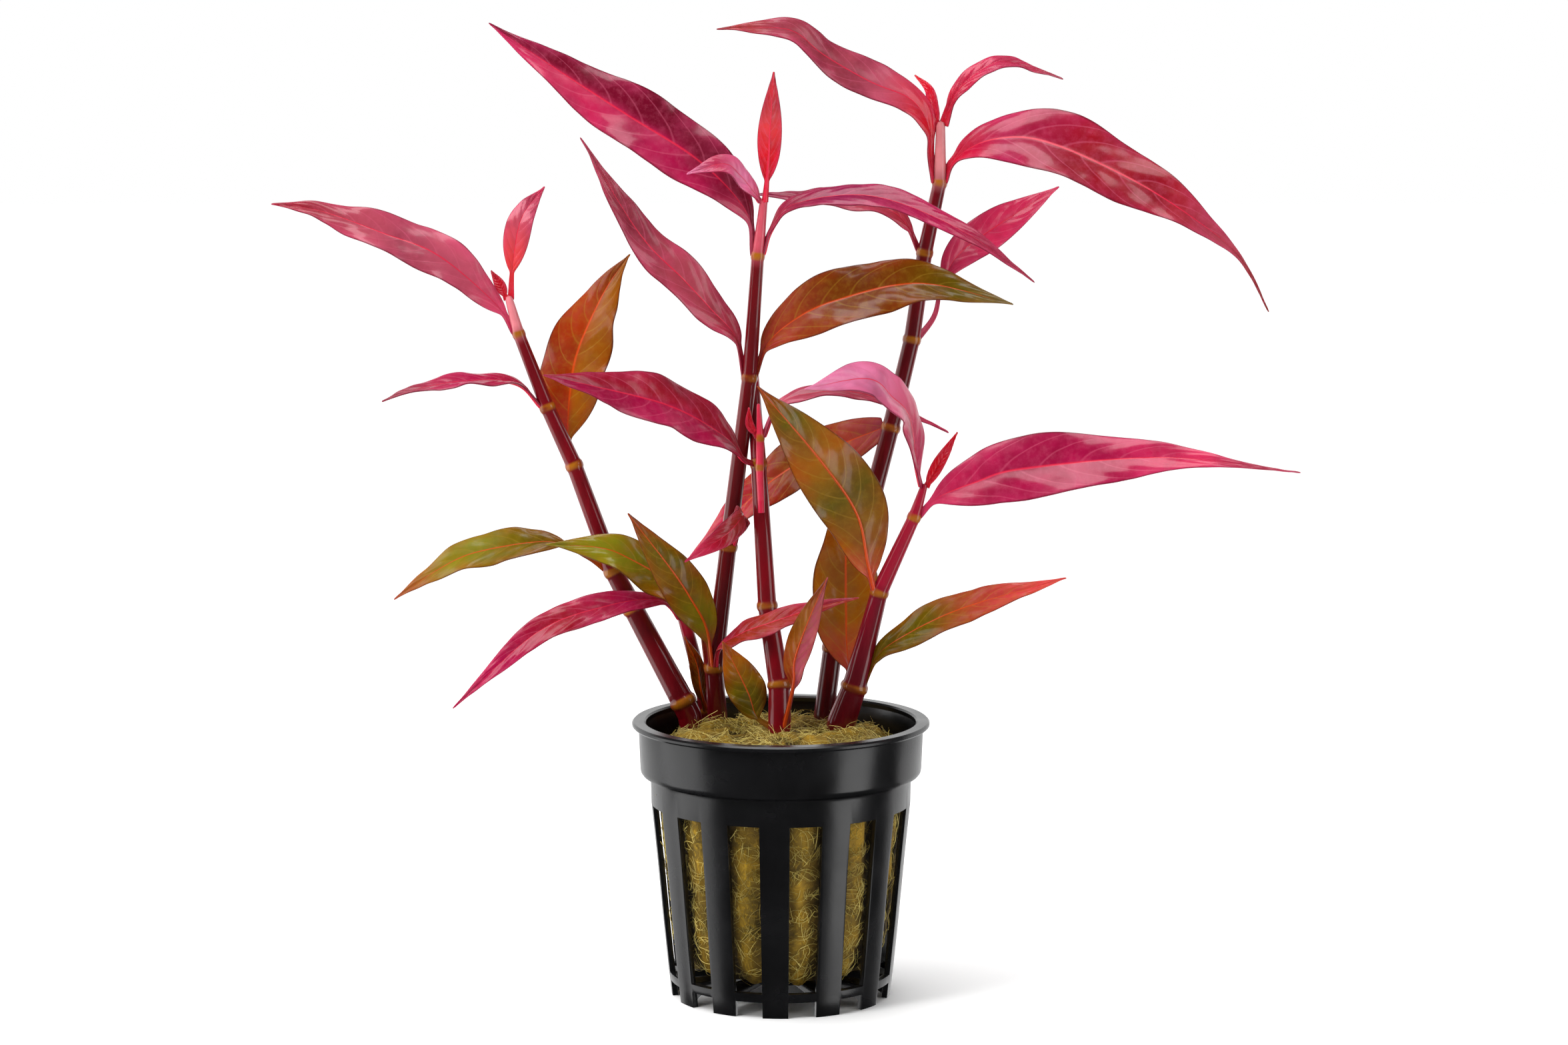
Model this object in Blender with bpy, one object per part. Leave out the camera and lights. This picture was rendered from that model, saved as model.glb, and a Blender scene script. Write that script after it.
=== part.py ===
"""Potted Sao Paulo persicaria.

A small black net pot with thirteen ribs holds a plug of rockwool. Six rooted stems and one side
shoot rise from the plug, and every leaf is a solid of its own that ends at its stem's node.
The origin is on the pot's axis at the level of its feet. +Z is up and -Y is the front.
"""
import math
from collections import namedtuple

import bmesh
import bpy
from mathutils import Vector

for old in list(bpy.data.objects):
    bpy.data.objects.remove(old, do_unlink=True)

# Sizes are written in millimetres and become metres where vertices are made.
MM = 0.001
TOUCHING_GAP = 0.3

# Pot: outer radii, heights and the pattern of its ribs.
RIB_COUNT = 13
RIB_ARC = math.radians(13.2)
FIN_ARC = math.radians(3.2)
FIRST_RIB = math.radians(-3.1)
RIM_RADIUS = 26.0
RIM_BORE = 23.6
POT_HEIGHT = 48.6
COLLAR_RADIUS = 24.6
COLLAR_BOTTOM = 39.7
BODY_RADIUS = 22.8
FOOT_RADIUS = 19.3
WINDOW_BOTTOM = 4.3
WINDOW_TOP = 34.1
FLOOR_UNDERSIDE = 2.8
WALL = 1.0
HUB_RADIUS = 8.0
FIN_REACH = 4.0

# Rockwool plug inside the pot.
PLUG_SIDES = 30
PLUG_TOP = 46.3
LUMP = 0.5
POCKET_DEPTH = 11.0
# The buried end of a stem stands nearer the pot's axis than its foot, by this share.
ROOT_LEAN = 0.9

# Stems have eight sides, and each node swells by this much.
STEM_SIDES = 8
NODE_SWELL = 1.16
NODE_HALF_LENGTH = 0.7

# Leaf blades: lanceolate, widest at this share of the blade and drawn out to a long tip.
BLADE_PEAK = 0.40
BLADE_FULLNESS = 0.85
STALK_HALF_WIDTH = 0.55
STALK_HALF_DEPTH = 0.45
BLADE_HALF_DEPTH = 0.2
STATION_SPACING = 5.2

# Each stem is a list of nodes from the plug upwards: x, y, z and the stem's radius there.
STEMS = {
    "left": [
        (-16.2, 10.0, 47.4, 2.15),
        (-17.4, 10.0, 50.0, 2.15),
        (-26.2, 12.0, 66.4, 1.85),
        (-29.7, 12.5, 73.0, 1.65),
        (-36.6, 14.0, 91.7, 1.45),
        (-41.3, 14.5, 102.0, 1.3),
        (-46.3, 15.0, 115.0, 1.05),
        (-47.9, 15.0, 121.0, 0.7),
    ],
    "left_centre": [
        (-11.3, 10.7, 47.4, 1.75),
        (-11.9, 10.3, 56.0, 1.65),
        (-9.3, 9.5, 77.8, 1.5),
        (-5.5, 7.2, 108.0, 1.3),
        (-4.0, 5.5, 129.3, 1.1),
        (-3.0, 5.5, 138.6, 0.7),
    ],
    "centre": [
        (-0.2, -1.3, 47.4, 2.05),
        (-0.3, 0.5, 54.7, 1.9),
        (-2.4, 3.5, 68.2, 1.65),
        (-3.9, 6.8, 92.8, 1.35),
        (-5.0, 13.2, 107.8, 1.1),
    ],
    "centre_shoot": [
        (-3.7, 3.9, 92.6, 0.7),
        (-3.6, 3.1, 97.9, 0.7),
        (-3.9, 2.9, 103.5, 0.3),
    ],
    "right_back": [
        (7.6, 9.5, 47.4, 1.8),
        (9.2, 10.5, 59.5, 1.75),
        (13.9, 12.0, 77.5, 1.65),
        (19.4, 13.5, 98.5, 1.55),
        (23.1, 14.5, 114.0, 1.45),
        (25.3, 15.0, 129.3, 1.35),
        (27.9, 15.0, 141.6, 1.2),
        (28.0, 15.0, 151.5, 0.8),
    ],
    "right_front": [
        (10.6, 3.0, 47.4, 2.55),
        (12.9, 3.0, 53.9, 2.15),
        (17.2, 2.0, 70.8, 1.5),
        (23.2, 1.0, 84.2, 1.1),
        (24.8, 0.8, 89.4, 0.65),
    ],
    "short": [
        (-13.2, 15.4, 47.4, 1.4),
        (-15.0, 15.0, 55.4, 1.25),
        (-17.2, 14.0, 64.1, 1.15),
    ],
}

# A leaf leaves its stem at a node. heading is the pair of bearings it sets out and ends on, in
# degrees from +X turning towards +Y. route lists reach from the stem's axis and height above the
# node. tilt is how far the upper face turns to the front, at the base and at the tip. fold is
# the rise of each half of the blade from flat. stalk is the length of the leaf stalk.
Leaf = namedtuple("Leaf", "name stem node heading route width tilt fold stalk")
LEAVES = [
    Leaf("left_top_long", "left", 6, (186, 184),
         [(3.9, 5.1), (14, 13.8), (23.5, 17.7), (34.5, 21.7), (43, 23)], 8.5, (65, 45), 14, 4),
    Leaf("left_top_upright", "left", 7, (60, 60), [(1.2, 6), (4, 14), (11.5, 19.5)],
         4.5, (30, 35), 10, 5),
    Leaf("left_top_spike", "left", 7, (150, 150), [(2, 2.6), (3.8, 5)], 1.6, (60, 60), 10, 1),
    Leaf("left_narrow", "left", 5, (200, 200), [(5.7, 4.4), (15.3, 5), (25, 3.6), (30, 2)],
         5.6, (15, 20), 14, 4),
    Leaf("left_broad", "left", 4, (130, -10),
         [(3.9, 6.4), (5.4, 13), (7.4, 20), (12.2, 30), (17, 37)], 12.6, (-40, 60), 8, 5),
    Leaf("left_olive", "left", 3, (172, 172), [(4.9, 2.6), (11.5, 5), (24, 3), (31, 0), (40, -6)],
         7, (50, 50), 14, 9),
    Leaf("short_pink", "short", 2, (210, 210), [(2.8, 2.6), (6, 4), (15, 3.6), (29, 0), (45.5, -12)],
         5.5, (45, 50), 14, 4),
    Leaf("short_low_brown", "short", 0, (260, 220), [(3.2, 4), (4.4, 9), (7.1, 14.3)],
         2.8, (-60, -60), 10, 3),
    Leaf("left_centre_olive", "left_centre", 1, (183, 192),
         [(3, 10.4), (7.1, 14.9), (14.7, 19.6), (20.1, 21.8), (29.8, 22.7)], 8.5, (55, 60), 14, 7),
    Leaf("left_centre_front", "left_centre", 1, (255, 210),
         [(3.3, 7.5), (7.4, 13.1), (12.1, 19.1), (20.5, 29.4)], 7.5, (-50, -55), 10, 5),
    Leaf("left_centre_low_pink", "left_centre", 1, (-80, -8),
         [(3.3, 4.1), (10.4, 7.7), (14.7, 9.4), (25.1, 13.3), (32, 15)], 4.6, (60, 60), 10, 4),
    Leaf("left_centre_mid_pink", "left_centre", 2, (330, 190),
         [(4.7, 5.7), (5.7, 5.8), (9.7, 3), (16.7, -1.5)], 4.5, (60, 65), 12, 3),
    Leaf("left_centre_magenta", "left_centre", 3, (190, 190),
         [(2.4, 6.9), (6.7, 11.8), (11.7, 17.2), (19.5, 25.4), (29.5, 41.9)], 8, (60, 65), 14, 6),
    Leaf("left_centre_brown", "left_centre", 3, (-5, -5),
         [(3, 5.5), (7.4, 9.7), (14.7, 13.3), (29.5, 16.5), (46, 13)], 11, (70, 50), 14, 5),
    Leaf("left_centre_top_left", "left_centre", 4, (178, 178),
         [(2, 7.5), (10, 16.2), (23, 24.5), (36.8, 33.4), (46.5, 40.1)], 11.5, (68, 65), 14, 6),
    Leaf("left_centre_top_right", "left_centre", 4, (-12, -12),
         [(2.4, 4.7), (6.8, 9), (20.3, 10.4), (35.5, 4.8), (48.5, -4)], 5.5, (35, 40), 14, 5),
    Leaf("left_centre_tip_fold", "left_centre", 5, (200, 200), [(4.3, 4.5), (7.4, 6.6), (14, 5)],
         4.5, (50, 50), 14, 1),
    Leaf("left_centre_tip_bud", "left_centre", 5, (-60, -60), [(1.7, 7), (2.2, 12), (3.6, 22.5)],
         4.4, (-30, -30), 12, 4),
    Leaf("centre_magenta", "centre", 3, (225, 215),
         [(3.8, 1.2), (8, 5.3), (20, 11.4), (37.2, 16.1), (45.6, 18.2)], 10.5, (60, 60), 14, 4),
    Leaf("centre_shoot_right", "centre_shoot", 1, (4, 4),
         [(3.2, 5.5), (9, 7.5), (18.3, 7.2), (33, 0.5)], 4, (25, 30), 14, 4),
    Leaf("centre_shoot_spike", "centre_shoot", 1, (180, 180), [(1.9, 2.2), (2, 5.2)],
         1.2, (60, 60), 10, 1),
    Leaf("centre_foot_scale", "centre", 1, (-10, -10), [(3, 2), (2.7, 5.6)], 1.8, (50, 60), 10, 0.5),
    Leaf("centre_low_twist", "centre", 0, (-60, -35),
         [(4.3, 8.3), (4.7, 12.9), (8.4, 21.6), (12.5, 29.7)], 5.8, (-50, -60), 10, 8),
    Leaf("centre_low_olive", "centre", 0, (170, 170),
         [(4.1, 1.8), (5.6, 5.9), (8.2, 11.2), (10.2, 15)], 6.6, (70, 70), 8, 3),
    Leaf("right_back_long", "right_back", 3, (160, 160),
         [(10.5, -3.9), (18, -7.5), (26, -13.5), (39, -26)], 9.5, (70, 60), 12, -2),
    Leaf("right_back_purple", "right_back", 5, (170, 170),
         [(3, 4.4), (6.2, 7.3), (12.7, 8.9), (31, 10)], 5.5, (40, 30), 14, 4),
    Leaf("right_back_pink", "right_back", 4, (25, 25),
         [(4.4, 4), (5.8, 9.2), (8.8, 14.4), (15.7, 19), (29.4, 26.4)], 6.8, (70, 65), 12, 12),
    Leaf("right_back_arch", "right_back", 6, (-15, -15),
         [(2.6, 3.9), (9, 7.4), (18.5, 7.3), (33.6, 1), (49, -10), (58.2, -21.7)],
         12, (55, 50), 14, 5),
    Leaf("right_back_top_left", "right_back", 6, (195, 195),
         [(2.2, 4.6), (2.8, 10), (5.5, 14.4), (13, 17.6), (21.3, 22.2), (26, 25.9), (30.5, 26.9),
          (40.4, 26.7)], 8, (60, 50), 14, 8),
    Leaf("right_back_tip_curl", "right_back", 7, (150, 150), [(1.5, 3.2), (2.4, 6.4), (5.2, 8.8)],
         1.6, (60, 60), 10, 1),
    Leaf("right_back_tip_right", "right_back", 7, (20, 20),
         [(3.1, 6), (8.7, 10.2), (13.2, 10.9), (23.4, 8)], 3, (40, 40), 14, 4),
    Leaf("right_front_brown", "right_front", 1, (110, 110),
         [(3.9, 6), (4.4, 14), (4.6, 24), (4.8, 36)], 12, (5, 5), 8, 3),
    Leaf("right_front_pink_low", "right_front", 1, (-20, -20),
         [(3.8, 4.8), (7.5, 8.4), (19.3, 14.7), (38.4, 21.2)], 6.5, (60, 55), 12, 5),
    Leaf("right_front_olive", "right_front", 2, (215, 215),
         [(2.6, 5.6), (5, 14.3), (12.6, 23.9), (25.9, 37.6)], 12, (-65, -65), 10, 3),
    Leaf("right_front_magenta", "right_front", 3, (-8, -8),
         [(3.9, 3.3), (10.7, 6.2), (19, 8.7), (43.5, 11), (66.5, 8.8)], 11.5, (70, 50), 12, 4),
    Leaf("right_front_pink_fold", "right_front", 4, (215, 215),
         [(1.6, 4), (3.4, 12.5), (7, 16), (12.3, 19.5), (25.4, 18.5)], 9, (60, 50), 14, 3),
    Leaf("right_front_tip_red", "right_front", 4, (20, 20), [(2.5, 3.5), (6.3, 9.4)],
         1.8, (60, 60), 10, 1),
]


def plain_material(name, colour, roughness, metallic=0.0):
    """A Principled material with one colour."""
    made = bpy.data.materials.new(name)
    made.use_nodes = True
    shader = made.node_tree.nodes["Principled BSDF"]
    shader.inputs["Base Color"].default_value = (*colour, 1.0)
    shader.inputs["Roughness"].default_value = roughness
    shader.inputs["Metallic"].default_value = metallic
    return made


POT_PLASTIC = plain_material("pot_plastic", (0.022, 0.022, 0.024), 0.42)
ROCKWOOL = plain_material("rockwool", (0.36, 0.25, 0.05), 0.95)
STEM_CRIMSON = plain_material("stem_crimson", (0.12, 0.005, 0.02), 0.3)
YOUNG_PINK = plain_material("young_leaf", (0.55, 0.02, 0.12), 0.35)
OLD_OLIVE = plain_material("old_leaf", (0.18, 0.1, 0.015), 0.35)
OLD_LEAVES = (
    "left_broad", "left_olive", "short_low_brown", "left_centre_olive", "left_centre_front",
    "left_centre_brown", "centre_low_twist", "centre_low_olive", "right_back_long",
    "right_front_brown", "right_front_pink_low", "right_front_olive",
)


def add_solid(name, bm, material):
    """Turns a bmesh into a named, smooth shaded object with its faces pointing out."""
    bmesh.ops.recalc_face_normals(bm, faces=bm.faces)
    mesh = bpy.data.meshes.new(name)
    bm.to_mesh(mesh)
    bm.free()
    mesh.materials.append(material)
    mesh.shade_smooth()
    mesh.set_sharp_from_angle(angle=math.radians(40))
    made = bpy.data.objects.new(name, mesh)
    bpy.context.collection.objects.link(made)
    return made


def loft(sections):
    """Joins rings of points, in millimetres, into one closed skin. A section may be one point."""
    bm = bmesh.new()
    rings = [[bm.verts.new(Vector(point) * MM) for point in section] for section in sections]
    for low, high in zip(rings, rings[1:]):
        if len(high) == 1:
            for i, corner in enumerate(low):
                bm.faces.new((corner, low[(i + 1) % len(low)], high[0]))
            continue
        for i, corner in enumerate(low):
            j = (i + 1) % len(low)
            bm.faces.new((corner, low[j], high[j], high[i]))
    bm.faces.new(rings[0][::-1])
    if len(rings[-1]) > 1:
        bm.faces.new(rings[-1])
    return bm


def around(angle, radius, height):
    """A point on the pot: angle is measured from the front towards +X."""
    return Vector((radius * math.sin(angle), -radius * math.cos(angle), height))


def make_pot():
    """The ribbed pot: wall, collar, rim, floor with a hub and spokes, feet and their fins.

    The wall is a grid of columns around the axis and rows up the side. A cell is filled or
    open, and only faces between a filled and an open cell are made.
    """
    pitch = 2 * math.pi / RIB_COUNT
    edges = (-RIB_ARC / 2, -FIN_ARC / 2, FIN_ARC / 2, RIB_ARC / 2)
    angles = [FIRST_RIB + rib * pitch + edge for rib in range(RIB_COUNT) for edge in edges]
    count = len(angles)
    levels = [
        (0.0, FOOT_RADIUS, FOOT_RADIUS - WALL),
        (FLOOR_UNDERSIDE, FOOT_RADIUS + 0.3, FOOT_RADIUS + 0.3 - WALL),
        (WINDOW_BOTTOM, FOOT_RADIUS + 0.5, FOOT_RADIUS + 0.5 - WALL),
        (WINDOW_TOP, BODY_RADIUS - 0.1, BODY_RADIUS - 0.1 - WALL),
        (COLLAR_BOTTOM - 1.1, BODY_RADIUS, BODY_RADIUS - WALL),
        (COLLAR_BOTTOM, COLLAR_RADIUS, RIM_BORE - 0.6),
        (POT_HEIGHT - 1.4, COLLAR_RADIUS + 0.3, RIM_BORE - 0.1),
        (POT_HEIGHT - 1.0, RIM_RADIUS, RIM_BORE),
        (POT_HEIGHT, RIM_RADIUS, RIM_BORE),
    ]
    band_row = 1
    window_row = 2

    def is_rib(column):
        return column % len(edges) != len(edges) - 1

    def is_fin(column):
        return column % len(edges) == 1

    def filled(column, row):
        if row < 0 or row >= len(levels) - 1:
            return False
        return row not in (0, window_row) or is_rib(column)

    bm = bmesh.new()
    known = {}

    def vert(column, radius, height):
        key = (column % count, round(radius, 3), round(height, 3))
        if key not in known:
            known[key] = bm.verts.new(around(angles[column % count], radius, height) * MM)
        return known[key]

    def strip(column, first, second):
        """A face across one column between two (radius, height) pairs."""
        corners = [vert(column, *first), vert(column + 1, *first)]
        corners += [vert(column + 1, *second), vert(column, *second)]
        bm.faces.new(corners)

    def side(column, pairs):
        """A face in the upright plane at a column's edge, through (radius, height) pairs."""
        bm.faces.new([vert(column, *pair) for pair in pairs])

    floor_low = levels[band_row][0]
    floor_high = levels[band_row + 1][0]
    floor_rim_low = levels[band_row][2]
    floor_rim_high = levels[band_row + 1][2]
    fin_tip = floor_rim_low - FIN_REACH
    for column in range(count):
        spoke = is_rib(column)
        for row in range(len(levels) - 1):
            if not filled(column, row):
                continue
            low, outer_low, inner_low = levels[row]
            high, outer_high, inner_high = levels[row + 1]
            strip(column, (outer_low, low), (outer_high, high))
            fin_here = row == 0 and is_fin(column)
            if not fin_here and not (row == band_row and spoke):
                strip(column, (inner_low, low), (inner_high, high))
            if not filled(column, row - 1):
                strip(column, (outer_low, low), (inner_low, low))
            if not filled(column, row + 1):
                strip(column, (outer_high, high), (inner_high, high))
            pairs = [(outer_low, low), (outer_high, high), (inner_high, high), (inner_low, low)]
            if not filled(column - 1, row):
                side(column, pairs)
            if not filled(column + 1, row):
                side(column + 1, pairs)
        # Floor: spokes under the ribs, all meeting in a round hub.
        if spoke:
            strip(column, (HUB_RADIUS, floor_high), (floor_rim_high, floor_high))
            if is_fin(column):
                strip(column, (HUB_RADIUS, floor_low), (fin_tip, floor_low))
                strip(column, (fin_tip, floor_low), (levels[0][2], 0.0))
                fin = [(floor_rim_low, floor_low), (fin_tip, floor_low), (levels[0][2], 0.0)]
                side(column, fin)
                side(column + 1, fin)
            else:
                bottom = [vert(column, HUB_RADIUS, floor_low), vert(column + 1, HUB_RADIUS, floor_low)]
                if is_fin(column + 1):
                    bottom.append(vert(column + 1, fin_tip, floor_low))
                bottom.append(vert(column + 1, floor_rim_low, floor_low))
                bottom.append(vert(column, floor_rim_low, floor_low))
                if is_fin(column - 1):
                    bottom.append(vert(column, fin_tip, floor_low))
                bm.faces.new(bottom)
        else:
            strip(column, (HUB_RADIUS, floor_low), (HUB_RADIUS, floor_high))
            spoke_side = [(HUB_RADIUS, floor_low), (HUB_RADIUS, floor_high)]
            spoke_side += [(floor_rim_high, floor_high), (floor_rim_low, floor_low)]
            side(column, spoke_side)
            side(column + 1, spoke_side)
    bm.faces.new([vert(column, HUB_RADIUS, floor_high) for column in range(count)])
    bm.faces.new([vert(column, HUB_RADIUS, floor_low) for column in range(count)])
    return add_solid("pot", bm, POT_PLASTIC)


def stem_path(nodes):
    """A stem's stations as (point, radius): straight internodes and short swollen nodes."""
    points = [Vector(node[:3]) for node in nodes]
    radii = [node[3] for node in nodes]
    stations = []
    for i, (point, radius) in enumerate(zip(points, radii)):
        along = (points[min(i + 1, len(points) - 1)] - points[max(i - 1, 0)]).normalized()
        if i == 0:
            root = Vector((point.x * ROOT_LEAN, point.y * ROOT_LEAN, point.z - POCKET_DEPTH))
            stations.append((root, radius * 0.8))
            stations.append((point, radius))
        elif i == len(points) - 1:
            stations.append((point, radius))
        else:
            ring = radius * NODE_SWELL
            stations.append((point - along * 2 * NODE_HALF_LENGTH, radius))
            stations.append((point - along * 0.5 * NODE_HALF_LENGTH, ring))
            stations.append((point + along * 0.5 * NODE_HALF_LENGTH, ring))
            stations.append((point + along * 2 * NODE_HALF_LENGTH, radius * 0.97))
    return stations


def tube_sections(stations, extra=0.0):
    """Eight-sided rings across a path of (point, radius) stations."""
    sections = []
    for i, (point, radius) in enumerate(stations):
        before = stations[max(i - 1, 0)][0]
        after = stations[min(i + 1, len(stations) - 1)][0]
        along = (after - before).normalized()
        across = along.cross(Vector((0, 1, 0))).normalized()
        third = along.cross(across)
        size = radius + extra
        turns = [2 * math.pi * k / STEM_SIDES for k in range(STEM_SIDES)]
        sections.append([point + (across * math.cos(a) + third * math.sin(a)) * size for a in turns])
    return sections


def make_stem(name):
    """One stem with a rounded bud or cut at its top. A rooted stem starts inside the plug."""
    stations = stem_path(STEMS[name])
    if name == "centre_shoot":
        stations = stations[1:]
    point, radius = stations[-1]
    along = (point - stations[-2][0]).normalized()
    stations.append((point + along * radius * 0.9, radius * 0.55))
    return add_solid("stem_" + name, loft(tube_sections(stations)), STEM_CRIMSON)


def make_plug():
    """The rockwool plug: a rounded, lumpy cylinder with a pocket for each rooted stem."""
    profile = [
        (WINDOW_BOTTOM + TOUCHING_GAP, 12.5),
        (WINDOW_BOTTOM + 0.9, 15.8),
        (WINDOW_BOTTOM + 3.5, 17.9),
        (18.0, 19.3),
        (WINDOW_TOP, 20.9),
        (PLUG_TOP - 4.5, 20.8),
        (PLUG_TOP - 1.4, 19.6),
        (PLUG_TOP - 0.3, 17.4),
        (PLUG_TOP, 12.0),
        (PLUG_TOP, 6.0),
    ]
    sections = []
    for height, radius in profile:
        ring = []
        for k in range(PLUG_SIDES):
            angle = 2 * math.pi * k / PLUG_SIDES
            lump = LUMP * math.sin(5 * angle + height * 0.4) * math.sin(3 * angle + 1)
            rise = lump if height > PLUG_TOP - 2 else 0.0
            bulge = 0.0 if height < 6 or height > PLUG_TOP - 0.2 else 0.6 * lump
            ring.append(around(angle, radius + bulge, height + rise))
        sections.append(ring)
    plug = add_solid("rockwool_plug", loft(sections), ROCKWOOL)
    for name, nodes in STEMS.items():
        if name == "centre_shoot":
            continue
        (low, low_radius), (top, top_radius) = stem_path(nodes)[:2]
        along = (top - low).normalized()
        pocket = [(low - along * TOUCHING_GAP, low_radius), (top + along * 4, top_radius * 1.08)]
        cutter = add_solid("pocket_" + name, loft(tube_sections(pocket, 1.4 * TOUCHING_GAP)), ROCKWOOL)
        cutter.hide_render = True
        cutter.display_type = "WIRE"
        cut = plug.modifiers.new("pocket_" + name, "BOOLEAN")
        cut.operation = "DIFFERENCE"
        cut.solver = "EXACT"
        cut.object = cutter
    return plug


def smooth_curve(points, samples):
    """Evenly spaced points along a Catmull-Rom curve through the given points."""
    ends = [points[0] * 2 - points[1], *points, points[-1] * 2 - points[-2]]
    fine = []
    for a, b, c, d in zip(ends, ends[1:], ends[2:], ends[3:]):
        for k in range(12):
            t = k / 12
            bend = (2 * a - 5 * b + 4 * c - d) * t * t + (3 * b - a - 3 * c + d) * t ** 3
            fine.append((2 * b + (c - a) * t + bend) * 0.5)
    fine.append(points[-1])
    lengths = [0.0]
    for first, second in zip(fine, fine[1:]):
        lengths.append(lengths[-1] + (second - first).length)
    result = []
    i = 0
    for k in range(samples + 1):
        wanted = lengths[-1] * k / samples
        while i < len(fine) - 2 and lengths[i + 1] < wanted:
            i += 1
        share = (wanted - lengths[i]) / (lengths[i + 1] - lengths[i])
        result.append(fine[i].lerp(fine[i + 1], share))
    return result, lengths[-1]


def blade_share(u):
    """Half width of a blade, from 0 to 1, at the share u of the blade's length."""
    u = min(max(u, 0.0), 1.0)
    tip_power = BLADE_FULLNESS * (1 - BLADE_PEAK) / BLADE_PEAK
    return (u / BLADE_PEAK) ** BLADE_FULLNESS * ((1 - u) / (1 - BLADE_PEAK)) ** tip_power


def make_leaf(leaf):
    """One leaf: a stalk that widens into a folded blade with a thick midrib."""
    node = STEMS[leaf.stem][leaf.node]
    set_out, end_on = leaf.heading
    start = node[3] * NODE_SWELL + TOUCHING_GAP + STALK_HALF_DEPTH
    spot = Vector(node[:3])
    last_reach = 0.0
    points = []
    for i, (reach, rise) in enumerate([(start, 0.0), *leaf.route]):
        bearing = math.radians(set_out + (end_on - set_out) * i / len(leaf.route))
        spot += Vector((math.cos(bearing), math.sin(bearing), 0)) * (reach - last_reach)
        last_reach = reach
        points.append(spot + Vector((0, 0, rise)))
    rough_length = sum((b - a).length for a, b in zip(points, points[1:]))
    stations = max(5, round(rough_length / STATION_SPACING) + 1)
    points, length = smooth_curve(points, stations)
    to_front = 1 if math.cos(math.radians(end_on)) >= 0 else -1
    fold = math.radians(leaf.fold)
    sections = []
    for i, point in enumerate(points[:-1]):
        share = i / stations
        along = (points[i + 1] - points[max(i - 1, 0)]).normalized()
        bearing = math.radians(set_out + (end_on - set_out) * share)
        level_side = Vector((-math.sin(bearing), math.cos(bearing), 0))
        up = along.cross(level_side).normalized()
        tilt = math.radians(to_front * (leaf.tilt[0] + (leaf.tilt[1] - leaf.tilt[0]) * share))
        side = level_side * math.cos(tilt) + up * math.sin(tilt)
        face = along.cross(side)
        u = (share * length - leaf.stalk) / (length - leaf.stalk)
        left = side * math.cos(fold) + face * math.sin(fold)
        right = side * -math.cos(fold) + face * math.sin(fold)
        half = STALK_HALF_WIDTH * (1 - share) + leaf.width / 2 * blade_share(u)
        rib = STALK_HALF_DEPTH * (1 - 0.6 * share)
        thin = BLADE_HALF_DEPTH * (1 - 0.3 * share)
        sections.append([
            point + left * half,
            point + left * half * 0.5 + face * (thin + 0.04 * half),
            point + face * thin,
            point + right * half * 0.5 + face * (thin + 0.04 * half),
            point + right * half,
            point + right * half * 0.5 - face * (thin - 0.04 * half),
            point - face * rib,
            point + left * half * 0.5 - face * (thin - 0.04 * half),
        ])
    sections.append([points[-1]])
    material = OLD_OLIVE if leaf.name in OLD_LEAVES else YOUNG_PINK
    return add_solid("leaf_" + leaf.name, loft(sections), material)


make_pot()
make_plug()
for stem_name in STEMS:
    make_stem(stem_name)
for each_leaf in LEAVES:
    make_leaf(each_leaf)
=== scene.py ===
"""A potted Sao Paulo persicaria: pink and olive leaves on crimson stems, in a black net pot of rockwool."""
import math
import random

import bpy
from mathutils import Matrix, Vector, noise


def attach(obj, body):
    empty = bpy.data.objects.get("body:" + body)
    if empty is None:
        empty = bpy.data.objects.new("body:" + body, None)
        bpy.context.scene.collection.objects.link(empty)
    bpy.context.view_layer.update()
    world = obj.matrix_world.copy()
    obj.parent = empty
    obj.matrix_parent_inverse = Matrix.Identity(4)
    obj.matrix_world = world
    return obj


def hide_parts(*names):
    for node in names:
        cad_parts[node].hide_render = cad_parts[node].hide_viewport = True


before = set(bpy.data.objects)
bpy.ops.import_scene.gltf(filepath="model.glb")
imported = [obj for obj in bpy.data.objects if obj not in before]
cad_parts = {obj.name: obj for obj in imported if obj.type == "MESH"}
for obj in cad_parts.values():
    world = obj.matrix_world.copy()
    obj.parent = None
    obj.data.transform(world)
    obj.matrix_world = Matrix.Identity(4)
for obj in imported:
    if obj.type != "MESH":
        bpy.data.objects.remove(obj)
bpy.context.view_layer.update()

# The view. The plant stands on a white sweep and is seen from the front, a little from above.
# The light comes from the upper left, with wide soft boxes at both sides and overhead.
MM = 0.001
CAMERA_PLACE = (0.54, -646, 168.4)
CAMERA_DOWN = 7.5
CAMERA_LENS = 86.14
SENSOR_WIDTH = 36
PLANT_MIDDLE = (0, 0, 90)

bpy.ops.object.select_all(action="DESELECT")
bpy.ops.object.camera_add(
    location=[c * MM for c in CAMERA_PLACE], rotation=(math.radians(90 - CAMERA_DOWN), 0, 0)
)
camera = bpy.context.object
camera.data.lens = CAMERA_LENS
camera.data.sensor_width = SENSOR_WIDTH
camera.data.clip_start = 10 * MM
bpy.context.scene.camera = camera
bpy.context.scene.view_settings.view_transform = "Standard"


def soft_light(name, place, size, power):
    """A soft light, size across and up, that faces the middle of the plant."""
    bpy.ops.object.light_add(type="AREA", location=[c * MM for c in place])
    light = bpy.context.object
    light.name = name
    light.data.shape = "RECTANGLE"
    light.data.size, light.data.size_y = [side * MM for side in size]
    light.data.energy = power
    aim = Vector(PLANT_MIDDLE) - Vector(place)
    light.rotation_euler = aim.to_track_quat("-Z", "Y").to_euler()


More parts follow.
